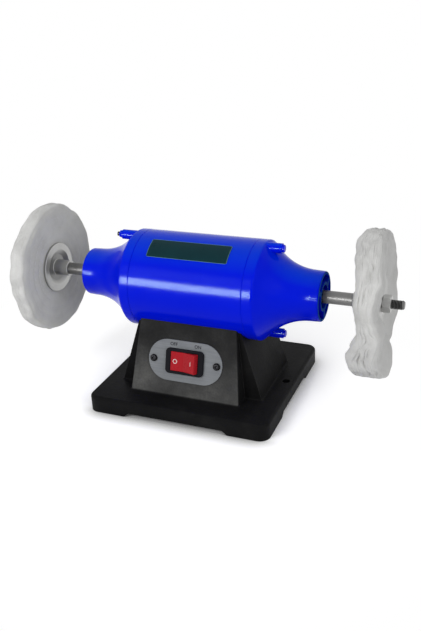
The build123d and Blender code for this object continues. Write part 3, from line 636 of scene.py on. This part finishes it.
looseWheel = {
    "node": "buff_wheel_right",
    "side": 1,
    "end": "right",
    "plies": 15,
    "round": 7.0 * mm,
    "rows": 1,
    "puff": 1.2 * mm,
    "plyDepth": 0.30 * mm,
    "bundles": 4,
    "foldDepth": 2.2 * mm,
    "lump": 2.0 * mm,
    "lumpNoise": (0.6, 3.4, 4.0),
    "grow": 1.5 * mm,
    "flutter": 0.8 * mm,
    "wrinkle": 1.6 * mm,
    "crumple": 0.9 * mm,
    "ragged": 0.9 * mm,
    "pleat": 0.6 * mm,
    "pleats": 13,
    "bumps": [(72, 45, 0.7), (258, 20, 2.2)],
    # how the loose plies fan out: turn in degrees from the back over the top, then the inner and the
    # outer edge's distance from the motor's middle, in mm
    "fan": [
        (0, 188, 205), (30, 187, 204), (60, 182.5, 204), (82, 177.5, 204), (104, 176, 205),
        (118, 179.5, 208), (130, 183, 210), (142, 185, 212), (152, 186, 209), (162, 186, 207.5),
        (171, 188, 208), (177, 190, 212), (185, 191, 216), (198, 183.5, 213.5), (209, 178, 211.5),
        (236, 178, 213), (254, 180, 216.5), (270, 182, 215), (279, 184, 210.5), (294, 188, 204.5),
        (308, 190, 206), (330, 189, 208), (345, 188, 206.5),
    ],
    "seed": 11.2,
    "fill": 0.5,
}

# what both wheels share: sizes, shares and powers, then noise as strength, pitch and where it is read
wheelCloth = {
    "around": 288, "faceRings": 26, "rowsPerPly": 5,
    "boreR": 5.3 * mm, "rimMargin": 0.6 * mm, "rimBand": 0.05 * mm, "flangeGap": 0.1 * mm,
    "sag": 3, "edgeLoss": 0.3, "faceLump": 0.7, "facePower": 3,
    "pleatSpiral": 1.5, "pleatLevel": 0.7, "pleatPower": 1.6, "flutterPower": 1.5,
    "plyDrift": 0.4, "plyPower": 0.6, "plyLevel": 0.6, "plyStep": 3, "raggedStep": 5.3,
    "foldStart": 0.55, "foldDrift": 1.8, "foldPower": 0.45, "foldLevel": 0.25, "foldStep": 0.8,
    "puffPower": 0.6, "looseOut": 2.6, "looseIn": 1.4,
    "crumpleAcross": 2.2, "crumpleRound": 6, "wrinkleOut": 13 * mm, "wrinkleRound": 3.2,
    "broadNoise": (0.5, 1.8, 0.0), "swayNoise": (0.8, 1.5, 9.0), "flapNoise": (0.6, 4.2, 14.0),
    "pleatTurn": (5, 2.0, 70.0), "pleatFade": (1, 2.6, 80.0),
    "driftNoise": (0.12, 2.2, 20.0), "shakeNoise": (0.05, 7, 30.0), "plyNoise": (0.6, 9, 0.0),
    "raggedNoise": (1, 5.0, 60.0), "foldNoise": (1.5, 3.4, 40.0),
}


def fanEdges(fan, theta):
    # inner and outer edge at a turn, eased between the two nearest rows
    turn = math.degrees(theta) % 360
    rows = fan + [(fan[0][0] + 360,) + fan[0][1:]]
    for low, high in zip(rows, rows[1:]):
        if low[0] <= turn <= high[0]:
            share = (turn - low[0]) / (high[0] - low[0])
            share = share * share * (3 - 2 * share)
            return [(low[part] + (high[part] - low[part]) * share) * mm for part in (1, 2)]


def bumpHeight(bumps, theta):
    turn = math.degrees(theta) % 360
    height = 0.0
    for at, half, rise in bumps:
        away = abs((turn - at + 180) % 360 - 180) / half
        if away < 1:
            height += rise * mm * (0.5 + 0.5 * math.cos(math.pi * away))
    return height


def clothShape(wheel):
    # gives the function that moves a point of a plain drum to its place on the wheel, and the drum's size
    cloth = wheelCloth
    low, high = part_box(wheel["node"])
    wheelR = (high.z - low.z) / 2
    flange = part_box("inner_flange_" + wheel["end"])
    flangeR = (flange[1].z - flange[0].z) / 2
    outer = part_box("outer_flange_" + wheel["end"])
    hubIn = max(abs(flange[0].x), abs(flange[1].x)) + cloth["flangeGap"]
    hubOut = min(abs(outer[0].x), abs(outer[1].x)) - cloth["flangeGap"]
    boxEdges = sorted((abs(low.x), abs(high.x)))
    plainEdges = boxEdges[0] + wheel["puff"] / 2, boxEdges[1] - wheel["puff"] / 2
    seed = wheel["seed"]
    rimStart = wheelR - wheel["round"]

    def shape(across, rho, theta):
        # across is -1 on the inner face and 1 on the outer one; rho is the drum's own radius
        cosine = math.cos(theta)
        sine = math.sin(theta)

        def wave(layer, shift=0.0):
            # smooth noise that closes on itself round the wheel
            strength, pitch, at = layer
            return strength * noise.noise(Vector((cosine * pitch, sine * pitch, seed + (at + shift))))

        edgeIn, edgeOut = fanEdges(wheel["fan"], theta) if wheel["fan"] else plainEdges
        onRim = rho > wheelR - cloth["rimBand"]
        share = 1.0 if onRim else min(1.0, max(0.0, (rho - flangeR) / (rimStart - flangeR)))
        reach = 1.0 if onRim else max(0.0, (rho - flangeR) / (wheelR - flangeR))

        lump = wheel["grow"] + wheel["lump"] * (wave(cloth["broadNoise"]) + wave(wheel["lumpNoise"]))
        lump += wheel["grow"] * max(0.0, -sine) ** cloth["sag"] + bumpHeight(wheel["bumps"], theta)
        flutter = wheel["flutter"] * (wave(cloth["swayNoise"]) + wave(cloth["flapNoise"], across))
        turns = wheel["pleats"] * theta + wave(cloth["pleatTurn"], across) + cloth["pleatSpiral"] * reach
        pleat = wheel["pleat"] * math.sin(turns) * (cloth["pleatLevel"] + wave(cloth["pleatFade"]))

        if onRim:
            thick = edgeOut - edgeIn
            along = edgeIn + (across + 1) / 2 * thick + flutter + pleat
            fromFace = (1 - abs(across)) / 2 * thick
            bend = max(0.0, 1 - fromFace / wheel["round"])
            drop = wheel["round"] * (1 - math.sqrt(max(0.0, 1 - bend * bend)))
            drift = wave(cloth["driftNoise"], across) + wave(cloth["shakeNoise"])
            stack = wheel["plies"] * (across / 2 + 0.5 + cloth["plyDrift"] * drift)
            ply = 1 - abs(math.sin(math.pi * stack)) ** cloth["plyPower"]
            ply *= cloth["plyLevel"] + wave(cloth["plyNoise"], across * cloth["plyStep"])
            ragged = wave(cloth["raggedNoise"], cloth["raggedStep"] * math.floor(stack))
            plyCut = wheel["plyDepth"] * ply + wheel["ragged"] * ragged * (1 - bend)
            bundle = wheel["bundles"] * (across / 2 + cloth["foldStart"] + cloth["foldDrift"] * drift)
            fold = 1 - abs(math.sin(math.pi * bundle)) ** cloth["foldPower"]
            fold *= max(0.0, cloth["foldLevel"] + wave(cloth["foldNoise"], cloth["foldStep"] * across))
            foldCut = wheel["foldDepth"] * fold * (1 - bend)
            crumple = wheel["crumple"] * noise.noise(Vector((
                across * cloth["crumpleAcross"], cosine * cloth["crumpleRound"],
                sine * cloth["crumpleRound"] + seed)))
            radius = wheelR - drop - plyCut - foldCut + lump * (1 - cloth["edgeLoss"] * bend) + crumple
        else:
            hub = hubOut if across > 0 else hubIn
            edge = edgeOut if across > 0 else edgeIn
            swell = share * (2 - share)
            wrinkle = wheel["wrinkle"] * swell * noise.noise(Vector((
                rho / cloth["wrinkleOut"], cosine * cloth["wrinkleRound"],
                sine * cloth["wrinkleRound"] + seed + across)))
            if wheel["rows"] == 1:  # loose plies spread soon on the outside and late on the inside
                swell = 1 - (1 - share) ** cloth["looseOut"] if across > 0 else share ** cloth["looseIn"]
            puff = wheel["puff"] * abs(math.sin(math.pi * share * wheel["rows"])) ** cloth["puffPower"]
            along = hub + swell * (edge - hub) + math.copysign(puff, across) + wrinkle
            along += pleat * reach ** cloth["pleatPower"] + flutter * reach ** cloth["flutterPower"]
            radius = rho + lump * share ** cloth["facePower"] * cloth["faceLump"]
        return Vector((wheel["side"] * along, cosine * radius, spindleHeight + sine * radius))

    return shape, {"wheelR": wheelR, "flangeR": flangeR, "rimStart": rimStart, "edges": boxEdges}


def makeWheel(name, wheel):
    cloth = wheelCloth
    shape, drum = clothShape(wheel)
    middle = (drum["edges"][0] + drum["edges"][1]) / 2
    half = (drum["edges"][1] - drum["edges"][0]) / 2
    rimEdge = drum["wheelR"] - cloth["rimBand"]
    piece = newPiece(
        name, bpy.ops.mesh.primitive_cylinder_add, vertices=cloth["around"], radius=drum["wheelR"],
        depth=2 * half, end_fill_type="NGON", location=(wheel["side"] * middle, 0, spindleHeight),
        rotation=(0, math.pi / 2, 0))
    pick(piece, "FACE", lambda face: abs(face.normal.z) > 0.9)  # the drum's own z lies along the spindle
    faceR = drum["rimStart"] - cloth["rimMargin"]
    bpy.ops.mesh.inset(thickness=drum["wheelR"] - faceR, use_even_offset=True)
    for ring in range(cloth["faceRings"]):
        bpy.ops.mesh.inset(thickness=(faceR - cloth["boreR"]) / cloth["faceRings"], use_even_offset=True)
    bpy.ops.mesh.bridge_edge_loops()
    pick(piece, "EDGE", lambda edge: abs((edge.verts[0].co - edge.verts[1].co).z) > half and
         edge.verts[0].co.xy.length > rimEdge)
    bpy.ops.mesh.subdivide(number_cuts=wheel["plies"] * cloth["rowsPerPly"])
    closePiece(piece)
    for vertex in piece.data.vertices:
        across = (wheel["side"] * vertex.co.x - middle) / half
        flat = Vector((vertex.co.y, vertex.co.z - spindleHeight))
        vertex.co = shape(max(-1.0, min(1.0, across)), flat.length, math.atan2(flat.y, flat.x))
    dress(piece, "spindle", "cotton", angle=80)
    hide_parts(wheel["node"])


stitch = {
    "length": 4.6 * mm, "gap": 1.8 * mm, "thick": 0.55 * mm, "flatAt": -0.4,
    "sides": 8, "rings": 6, "nextTurn": 0.01,
}


def sewRows(name, wheel):
    # rows of stitches in the hollows between the puffed rings, on both faces
    shape, drum = clothShape(wheel)
    pattern = newPiece(
        name, bpy.ops.mesh.primitive_uv_sphere_add, segments=stitch["sides"], ring_count=stitch["rings"],
        radius=stitch["thick"])
    pick(pattern, "FACE", lambda face: face.calc_center_median().z < stitch["flatAt"] * stitch["thick"])
    bpy.ops.mesh.delete(type="FACE")
    pickOpenEdges()
    bpy.ops.mesh.fill()
    bpy.ops.mesh.select_all(action="SELECT")
    bpy.ops.transform.resize(value=(stitch["length"] / stitch["thick"] / 2, 1, 1))
    closePiece(pattern)
    copies = []
    for face in (-1, 1):
        for row in range(1, wheel["rows"]):
            rho = drum["flangeR"] + (drum["rimStart"] - drum["flangeR"]) * row / wheel["rows"]
            count = round(2 * math.pi * rho / (stitch["length"] + stitch["gap"]))
            for turn in range(count):
                theta = 2 * math.pi * turn / count
                here = shape(face, rho, theta)
                along = (shape(face, rho, theta + stitch["nextTurn"]) - here).normalized()
                out = Vector((wheel["side"] * face, 0, 0))
                out = (out - along * out.dot(along)).normalized()
                turned = Matrix((along, out.cross(along), out)).transposed().to_4x4()
                copied = copyPiece(pattern, name)
                copied.data.transform(Matrix.Translation(here) @ turned)
                copies.append(copied)
    selectOnly(copies[0])
    for copied in copies:
        copied.select_set(True)
    bpy.ops.object.join()
    bpy.data.objects.remove(pattern)
    dress(copies[0], "spindle", "sewing", angle=60)


makeWheel("sewnWheel", sewnWheel)
sewRows("sewnWheelStitches", sewnWheel)
makeWheel("looseWheel", looseWheel)
print("cloth wheels made")


# The shaft, with its threaded ends, and the flanges that sit on its shoulders


shaftPiece = {
    "sides": 64,
    "rotorR": 11.0 * mm, "rotorEnd": 32.0 * mm,
    "bodyR": 8.5 * mm, "bodyEnd": 115.4 * mm,
    "journalR": 7.48 * mm, "journalEnd": 127.0 * mm,
    "reachR": 7.0 * mm, "shoulderEdge": 0.3 * mm,
    "endR": 5.0 * mm, "rootR": 4.5 * mm, "threadStart": 209.0 * mm, "runOut": 0.4 * mm, "chamfer": 0.9 * mm,
    # the thread, which starts a little past its run-out and sinks into the root
    "firstTurn": 0.6 * mm, "lastGap": 0.3 * mm, "sink": 0.1 * mm,
    "pitch": 1.5 * mm, "foot": 1.35 * mm, "crest": 0.225 * mm, "turnSteps": 40,
}


def makeShaft(tip):
    shaft = shaftPiece
    shoulder = min(abs(corner.x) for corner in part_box("inner_flange_right"))
    edge = shaft["shoulderEdge"]
    half = [
        (shaft["rotorEnd"], shaft["rotorR"]), (shaft["rotorEnd"], shaft["bodyR"]),
        (shaft["bodyEnd"], shaft["bodyR"]), (shaft["bodyEnd"], shaft["journalR"]),
        (shaft["journalEnd"], shaft["journalR"]), (shaft["journalEnd"], shaft["reachR"]),
        (shoulder - edge, shaft["reachR"]), (shoulder, shaft["reachR"] - edge), (shoulder, shaft["endR"]),
        (shaft["threadStart"], shaft["endR"]), (shaft["threadStart"] + shaft["runOut"], shaft["rootR"]),
        (tip - shaft["chamfer"], shaft["rootR"]), (tip, shaft["rootR"] - shaft["chamfer"]),
    ]
    steps = [(-reach, radius) for reach, radius in reversed(half)] + half
    core = roundPiece("spindleShaft", shaft["sides"], (0, 0, spindleHeight), (1, 0, 0), steps)
    closePiece(core)
    dress(core, "spindle", "turned", angle=30)
    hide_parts("shaft")


def makeThread(tip):
    # one turn's profile is screwed along the end of the shaft, then mirrored for the other end
    shaft = shaftPiece
    start = shaft["threadStart"] + shaft["firstTurn"]
    centre = (start, 0, spindleHeight)
    thread = newPiece("spindleThreadRight", bpy.ops.mesh.primitive_plane_add, size=1, location=centre)
    bpy.ops.transform.rotate(value=math.pi / 2, orient_axis="X", center_override=centre)
    height = shaft["endR"] - shaft["rootR"] + shaft["sink"]
    bpy.ops.transform.resize(value=(shaft["foot"], 1, height), center_override=centre)
    lift = shaft["rootR"] - shaft["sink"] + height / 2
    bpy.ops.transform.translate(value=(0, 0, lift))
    pick(thread, "EDGE", lambda edge: (edge.verts[0].co.z + edge.verts[1].co.z) / 2 > lift + height / 4)
    bpy.ops.transform.resize(value=(shaft["crest"] / shaft["foot"], 1, 1), center_override=centre)
    bpy.ops.mesh.select_all(action="SELECT")
    bpy.ops.mesh.delete(type="ONLY_FACE")
    bpy.ops.object.mode_set(mode="OBJECT")
    turns = int((tip - shaft["chamfer"] - shaft["lastGap"] - start) / shaft["pitch"])
    applyModifier(
        thread, "SCREW", axis="X", screw_offset=shaft["pitch"], iterations=turns,
        steps=shaft["turnSteps"], render_steps=shaft["turnSteps"])
    bpy.ops.object.mode_set(mode="EDIT")
    bpy.ops.mesh.select_all(action="SELECT")
    bpy.ops.mesh.fill_holes(sides=4)
    closePiece(thread)
    other = copyPiece(thread, "spindleThreadLeft")
    selectOnly(other)
    bpy.ops.object.mode_set(mode="EDIT")
    bpy.ops.mesh.select_all(action="SELECT")
    bpy.ops.transform.resize(value=(-1, 1, 1), center_override=(0, 0, spindleHeight))
    closePiece(other)
    for piece in (thread, other):
        dress(piece, "spindle", "screwThread", angle=25)


def makeFlange(end, side):
    # a pressed cup: a flat ring, a dish and the collar that seats on the shaft's shoulder
    cup = innerFlange
    low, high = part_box("inner_flange_" + end)
    start, back = sorted((abs(low.x), abs(high.x)))
    rimR = (high.z - low.z) / 2
    front = back - cup["thick"]
    floor = back - cup["floorThick"]
    edge = cup["edge"]
    steps = [
        (back, cup["boreR"]), (back, rimR - edge), (back - edge, rimR), (front + edge, rimR),
        (front, rimR - edge), (front, cup["landR"]), (floor, cup["floorR"]),
        (floor, cup["collarR"] + edge), (floor - edge, cup["collarR"]),
        (start + cup["chamfer"], cup["collarR"]), (start, cup["collarR"] - cup["chamfer"]),
        (start, cup["boreR"]),
    ]
    piece = roundPiece(
        "innerFlange" + end.title(), cup["sides"], (0, 0, spindleHeight), (side, 0, 0), steps, "NOTHING")
    pickOpenEdges()
    bpy.ops.mesh.bridge_edge_loops()
    closePiece(piece)
    dress(piece, "spindle", "dished", angle=25)
    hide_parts("inner_flange_" + end)


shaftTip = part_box("shaft")[1].x
makeShaft(shaftTip)
makeThread(shaftTip)
makeFlange("left", -1)
makeFlange("right", 1)
print("shaft, threads and flanges made")


# Switch marks, printed words and screws


def onSwitch(x, y, z):
    # at the rocker's pivot: x across, y up the leaning face, z out of it
    joint = joints["rocker_tilt"]
    up = Vector(joint["axis"]).normalized()
    across = Vector((1, 0, 0))
    turned = Matrix((across, up, across.cross(up))).transposed().to_4x4()
    return Matrix.Translation(joint["pos_m"]) @ turned @ Matrix.Translation((x, y, z))


switchBezel = {
    "width": 45.0 * mm, "height": 28.6 * mm, "corner": 4.6 * mm, "cornerSteps": 10,
    "bottom": -0.4 * mm, "top": 2.8 * mm, "roundOver": 1.1 * mm, "roundSteps": 4,
    "wellWidth": 33.2 * mm, "wellHeight": 22.4 * mm, "wellFloor": -8.4 * mm,
    "caseWidth": 39.6 * mm, "caseHeight": 24.9 * mm, "caseBottom": -27.6 * mm,
    "levelBand": 0.03 * mm,
}


def sinkFace(piece, level, size, newSize, depth):
    # narrows the flat face at a level of the piece's own space to a new width and height, and draws it on
    pick(piece, "FACE", lambda face: abs(face.normal.z) > 0.99 and
         abs(face.calc_center_median().z - level) < switchBezel["levelBand"])
    margin = (size[1] - newSize[1]) / 2
    bpy.ops.mesh.inset(thickness=margin, use_even_offset=True)
    bpy.ops.transform.resize(value=(newSize[0] / (size[0] - 2 * margin), 1, 1), center_override=(0, 0, 0))
    extrudeBy((0, 0, depth))


def makeBezel():
    # a frame with round corners, the rocker's well in it and the case behind the plate
    bezel = switchBezel
    foot = (0, 0, bezel["bottom"])
    rise = bezel["top"] - bezel["bottom"]
    size = bezel["width"], bezel["height"]
    piece = newPiece("switchBezel", bpy.ops.mesh.primitive_plane_add, size=1, location=foot)
    bpy.ops.transform.resize(value=(*size, 1), center_override=foot)
    bpy.ops.mesh.bevel(offset=bezel["corner"], segments=bezel["cornerSteps"], affect="VERTICES")
    bpy.ops.mesh.select_all(action="SELECT")
    extrudeBy((0, 0, rise))
    pick(piece, "EDGE", lambda edge: min(vertex.co.z for vertex in edge.verts) > 0.9 * rise)
    bpy.ops.mesh.bevel(offset=bezel["roundOver"], segments=bezel["roundSteps"], affect="EDGES")
    topSize = [length - 2 * bezel["roundOver"] for length in size]
    wellSize = bezel["wellWidth"], bezel["wellHeight"]
    sinkFace(piece, rise, topSize, wellSize, bezel["wellFloor"] - bezel["top"])
    caseSize = bezel["caseWidth"], bezel["caseHeight"]
    sinkFace(piece, 0, size, caseSize, bezel["caseBottom"] - bezel["bottom"])
    closePiece(piece)
    piece.data.transform(onSwitch(0, 0, 0))
    dress(piece, "stand", "bezel")
    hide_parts("switch_body")


rockerMarks = {
    "throw": math.radians(10), "crest": 3.0 * mm, "reach": 10.0 * mm,
    "ringR": 2.6 * mm, "ringSides": 48, "line": 0.75 * mm,
    "barHeight": 4.8 * mm, "barCorner": 0.225 * mm, "barSteps": 3,
    "thick": 0.1 * mm,
}


def finishMark(piece, side):
    # gives a flat mark its thickness and lays it on one half of the tipped rocker
    marks = rockerMarks
    closePiece(piece)
    applyModifier(piece, "SOLIDIFY", thickness=marks["thick"], offset=0)
    rise = marks["crest"] + marks["reach"] * math.tan(marks["throw"])
    tipped = onSwitch(0, 0, 0) @ Matrix.Rotation(-marks["throw"], 4, "Y")
    onHalf = tipped @ Matrix.Translation((side * marks["reach"], 0, rise))
    piece.data.transform(onHalf @ Matrix.Rotation(-side * marks["throw"], 4, "Y"))
    dress(piece, "rocker", "mark")


def makeRockerMarks():
    marks = rockerMarks
    ring = newPiece(
        "offMark", bpy.ops.mesh.primitive_circle_add, vertices=marks["ringSides"], radius=marks["ringR"],
        fill_type="NGON")
    bpy.ops.mesh.inset(thickness=marks["line"])
    bpy.ops.mesh.delete(type="FACE")
    finishMark(ring, -1)
    bar = newPiece("onMark", bpy.ops.mesh.primitive_plane_add, size=marks["line"])
    bpy.ops.transform.resize(value=(1, marks["barHeight"] / marks["line"], 1))
    bpy.ops.mesh.bevel(offset=marks["barCorner"], segments=marks["barSteps"], affect="VERTICES")
    finishMark(bar, 1)


plateWords = {
    "across": {"OFF": -14.2 * mm, "ON": 14.4 * mm},
    "up": 17.0 * mm,
    "seat": -0.4 * mm,
    "size": 5.0 * mm,
    "weight": 0.14 * mm,
    "thick": 0.05 * mm,
}


def makePlateWords():
    for word, across in plateWords["across"].items():
        bpy.ops.object.select_all(action="DESELECT")
        bpy.ops.object.text_add()
        text = bpy.context.object.data
        text.body = word
        text.size = plateWords["size"]
        text.align_x = "CENTER"
        text.extrude = plateWords["thick"]
        text.offset = plateWords["weight"]
        bpy.ops.object.convert(target="MESH")
        piece = bpy.context.object
        piece.name = "switchWord" + word.title()
        piece.data.transform(onSwitch(across, plateWords["up"], plateWords["seat"]))
        dress(piece, "stand", "print")


screwHead = {
    "spread": 37.7 * mm, "seat": -0.4 * mm, "turn": math.radians(17), "sides": 48,
    "headR": 4.1 * mm, "height": 2.4 * mm, "sideShare": 0.35, "topShare": 0.62, "domeSteps": 5,
    "socketR": 1.75 * mm, "socketDepth": 1.5 * mm, "tipDepth": 0.3 * mm, "tipShare": 0.3,
    "shankR": 2.0 * mm, "shank": 5.2 * mm,
}


def makePlateScrews():
    # a domed head with a hexagon socket, which is drawn round first and then pulled to six sides
    head = screwHead
    top = head["height"]
    floor = top - head["socketDepth"]
    socketR = head["socketR"]
    dome = []
    for part in range(head["domeSteps"] + 1):
        turn = math.pi / 2 * part / head["domeSteps"]
        rise = head["sideShare"] + (1 - head["sideShare"]) * math.sin(turn)
        width = head["topShare"] + (1 - head["topShare"]) * math.cos(turn)
        dome.append((top * rise, head["headR"] * width))
    steps = [(-head["shank"], head["shankR"]), (0, head["shankR"]), (0, head["headR"])] + dome + [
        (top, socketR), (floor, socketR), (floor - head["tipDepth"], socketR * head["tipShare"])]
    screw = roundPiece("plateScrewLeft", head["sides"], (0, 0, 0), (0, 0, 1), steps)
    closePiece(screw)
    sixth = math.radians(60)
    for vertex in screw.data.vertices:
        place = vertex.co
        flat = place.xy.length
        if place.z > floor - head["tipDepth"] / 2 and flat < head["headR"] / 2:
            turn = math.atan2(place.y, place.x) % sixth - sixth / 2
            size = socketR * math.cos(sixth / 2) / math.cos(turn) / flat
            vertex.co = (place.x * size, place.y * size, place.z)
    other = copyPiece(screw, "plateScrewRight")
    for piece, side in ((screw, -1), (other, 1)):
        turned = Matrix.Rotation(head["turn"] * side, 4, "Z")
        piece.data.transform(onSwitch(side * head["spread"], 0, head["seat"]) @ turned)
        dress(piece, "stand", "screw", angle=30)
        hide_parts("plate_screws")


makeBezel()
makeRockerMarks()
makePlateWords()
makePlateScrews()
print("switch dressed")


# Stage, lights and camera


stage = {
    "size": 12.0, "cuts": 4, "ambient": 0.42, "floor": 0.90, "seenLight": 0.46,
    "shadeSamples": 8, "shadeReach": 50 * mm,
    # the painted contact shadow in front of the base: its reach, and where it comes in along Y
    "edgeReach": 18 * mm, "front": (-98 * mm, -90 * mm),
    # where the floor turns white, as painted light over the object's shadows: away from the middle, and to
    # the right
    "whiteFrom": (0.13, 0.40), "rightFrom": (0.11, 0.18), "rightWhite": 0.8,
}


def seenRays(shader):
    # 1 for what the camera, a gloss or a glass shows, 0 for light that falls on things
    camera = shader.node("LightPath", out="Is Camera Ray")
    gloss = shader.node("LightPath", out="Is Glossy Ray")
    through = shader.node("LightPath", out="Is Transmission Ray")
    return shader.maths("MAXIMUM", shader.maths("MAXIMUM", camera, gloss), through)


def makeFloor():
    floor = newPiece("floor", bpy.ops.mesh.primitive_plane_add, size=stage["size"])
    bpy.ops.mesh.subdivide(number_cuts=stage["cuts"])
    closePiece(floor)
    material = bpy.data.materials.new("paleFloor")
    material.use_nodes = True
    shader = Shader(material.node_tree)
    seen = seenRays(shader)
    samples = {"samples": stage["shadeSamples"]}
    bare = shader.node("AmbientOcclusion", samples, {"Distance": stage["shadeReach"]}, "AO")
    edge = shader.node("AmbientOcclusion", samples, {"Distance": stage["edgeReach"]}, "AO")
    # painted contact shadow: the floor's colour is darkened in front of the base where the short occlusion
    # finds it hidden
    shade = seen * shader.span(shader.along("Y"), stage["front"], (1, 0)) * (1 - edge)
    pale = rgb(stage["floor"], stage["floor"], stage["floor"])
    lit = shader.node("BsdfDiffuse", None, {"Color": shader.blend(shade, pale, rgb(0, 0, 0))})
    # painted shade: the floor's glow dims near the object with the square of the wide occlusion
    glow = shader.node("Emission", None, {
        "Color": rgb(1, 1, 1), "Strength": seen * stage["seenLight"] * bare * bare * (1 - shade)})
    near = shader.node("AddShader", None, {0: lit, 1: glow})
    # painted light: the floor away from the middle and right of the base is whitened over the shadows there
    beside = shader.span(shader.along("X"), stage["rightFrom"], (0, stage["rightWhite"]))
    far = 1 - (1 - shader.span(shader.length(shader.place()), stage["whiteFrom"])) * (1 - beside)
    white = shader.node("Emission", None, {"Color": rgb(1, 1, 1), "Strength": 1.0})
    both = shader.node("MixShader", None, {0: seen * far, 1: near, 2: white})
    shader.feed(material.node_tree.nodes["Material Output"].inputs["Surface"], both)
    floor.data.materials.append(material)


def makeWorld():
    world = bpy.data.worlds.new("studio")
    bpy.context.scene.world = world
    world.use_nodes = True
    shader = Shader(world.node_tree)
    background = world.node_tree.nodes["Background"]
    shader.feed(background.inputs["Color"], rgb(1, 1, 1))
    strength = stage["ambient"] + seenRays(shader) * (1 - stage["ambient"])
    shader.feed(background.inputs["Strength"], strength)


# the key, the fill and the lamp above light everything; the strip shows only in the paint's gloss, and
# the glint only in that of the shaft, the nuts and the screws
lamps = {
    "key": {"at": (-0.62, -1.20, 0.98), "size": (0.62, 0.40), "level": 14.0},
    "fill": {"at": (1.30, -0.70, 0.70), "size": (0.9, 0.9), "level": 3.1},
    "over": {"at": (-0.35, -0.25, 1.7), "size": (1.2, 0.9), "level": 0.5},
    "strip": {"at": (-0.60, -1.42, 0.36), "size": (0.96, 0.38), "level": 80.0,
              "shownIn": ["enamel", "tie"]},
    "glint": {"at": (-0.60, -1.42, 0.40), "size": (0.96, 0.38), "level": 14.0,
              "shownIn": ["turned", "nut", "screwThread", "screw"]},
}
lampAim = Vector((0, -0.05, 0.14))


def piecesWith(chosen):
    # the pieces that wear one of the chosen finishes
    pieces = bpy.data.collections.new("glossPieces")
    wanted = {finishes[finish] for finish in chosen}
    for piece in bpy.context.scene.objects:
        if piece.type == "MESH" and piece.data.materials and piece.data.materials[0] in wanted:
            pieces.objects.link(piece)
    return pieces


def makeLamps():
    for name, lamp in lamps.items():
        light = bpy.data.lights.new(name, "AREA")
        light.shape = "RECTANGLE"
        light.size, light.size_y = lamp["size"]
        light.energy = lamp["level"] * math.pi * light.size * light.size_y
        holder = bpy.data.objects.new(name, light)
        bpy.context.collection.objects.link(holder)
        holder.location = lamp["at"]
        aim = lampAim - Vector(lamp["at"])
        holder.rotation_euler = aim.to_track_quat("-Z", "Y").to_euler()
        onlyGloss = "shownIn" in lamp
        if onlyGloss:
            holder.light_linking.receiver_collection = piecesWith(lamp["shownIn"])
        holder.visible_glossy = onlyGloss
        holder.visible_diffuse = not onlyGloss


photoView = {
    "target": (7.64 * mm, 0, 90.09 * mm),
    "yaw": math.radians(23.49),
    "elevation": math.radians(24.8),
    "roll": math.radians(-3.06),
    "distance": 911.07 * mm,
    "lens": 45.46,
    "sensor": 36,
    "nearest": 0.01,
}


def makeCamera():
    view = photoView
    camera = bpy.data.objects.new("camera", bpy.data.cameras.new("camera"))
    bpy.context.collection.objects.link(camera)
    turned = Matrix.Rotation(view["yaw"], 4, "Z")
    raised = Matrix.Rotation(math.pi / 2 - view["elevation"], 4, "X")
    back = Matrix.Translation((0, 0, view["distance"])) @ Matrix.Rotation(view["roll"], 4, "Z")
    camera.matrix_world = Matrix.Translation(view["target"]) @ turned @ raised @ back
    camera.data.lens = view["lens"]
    camera.data.sensor_width = view["sensor"]
    camera.data.clip_start = view["nearest"]
    bpy.context.scene.camera = camera


makeFloor()
makeWorld()
makeLamps()
makeCamera()
bpy.context.scene.view_settings.view_transform = "Standard"
print("stage, lamps and camera set")
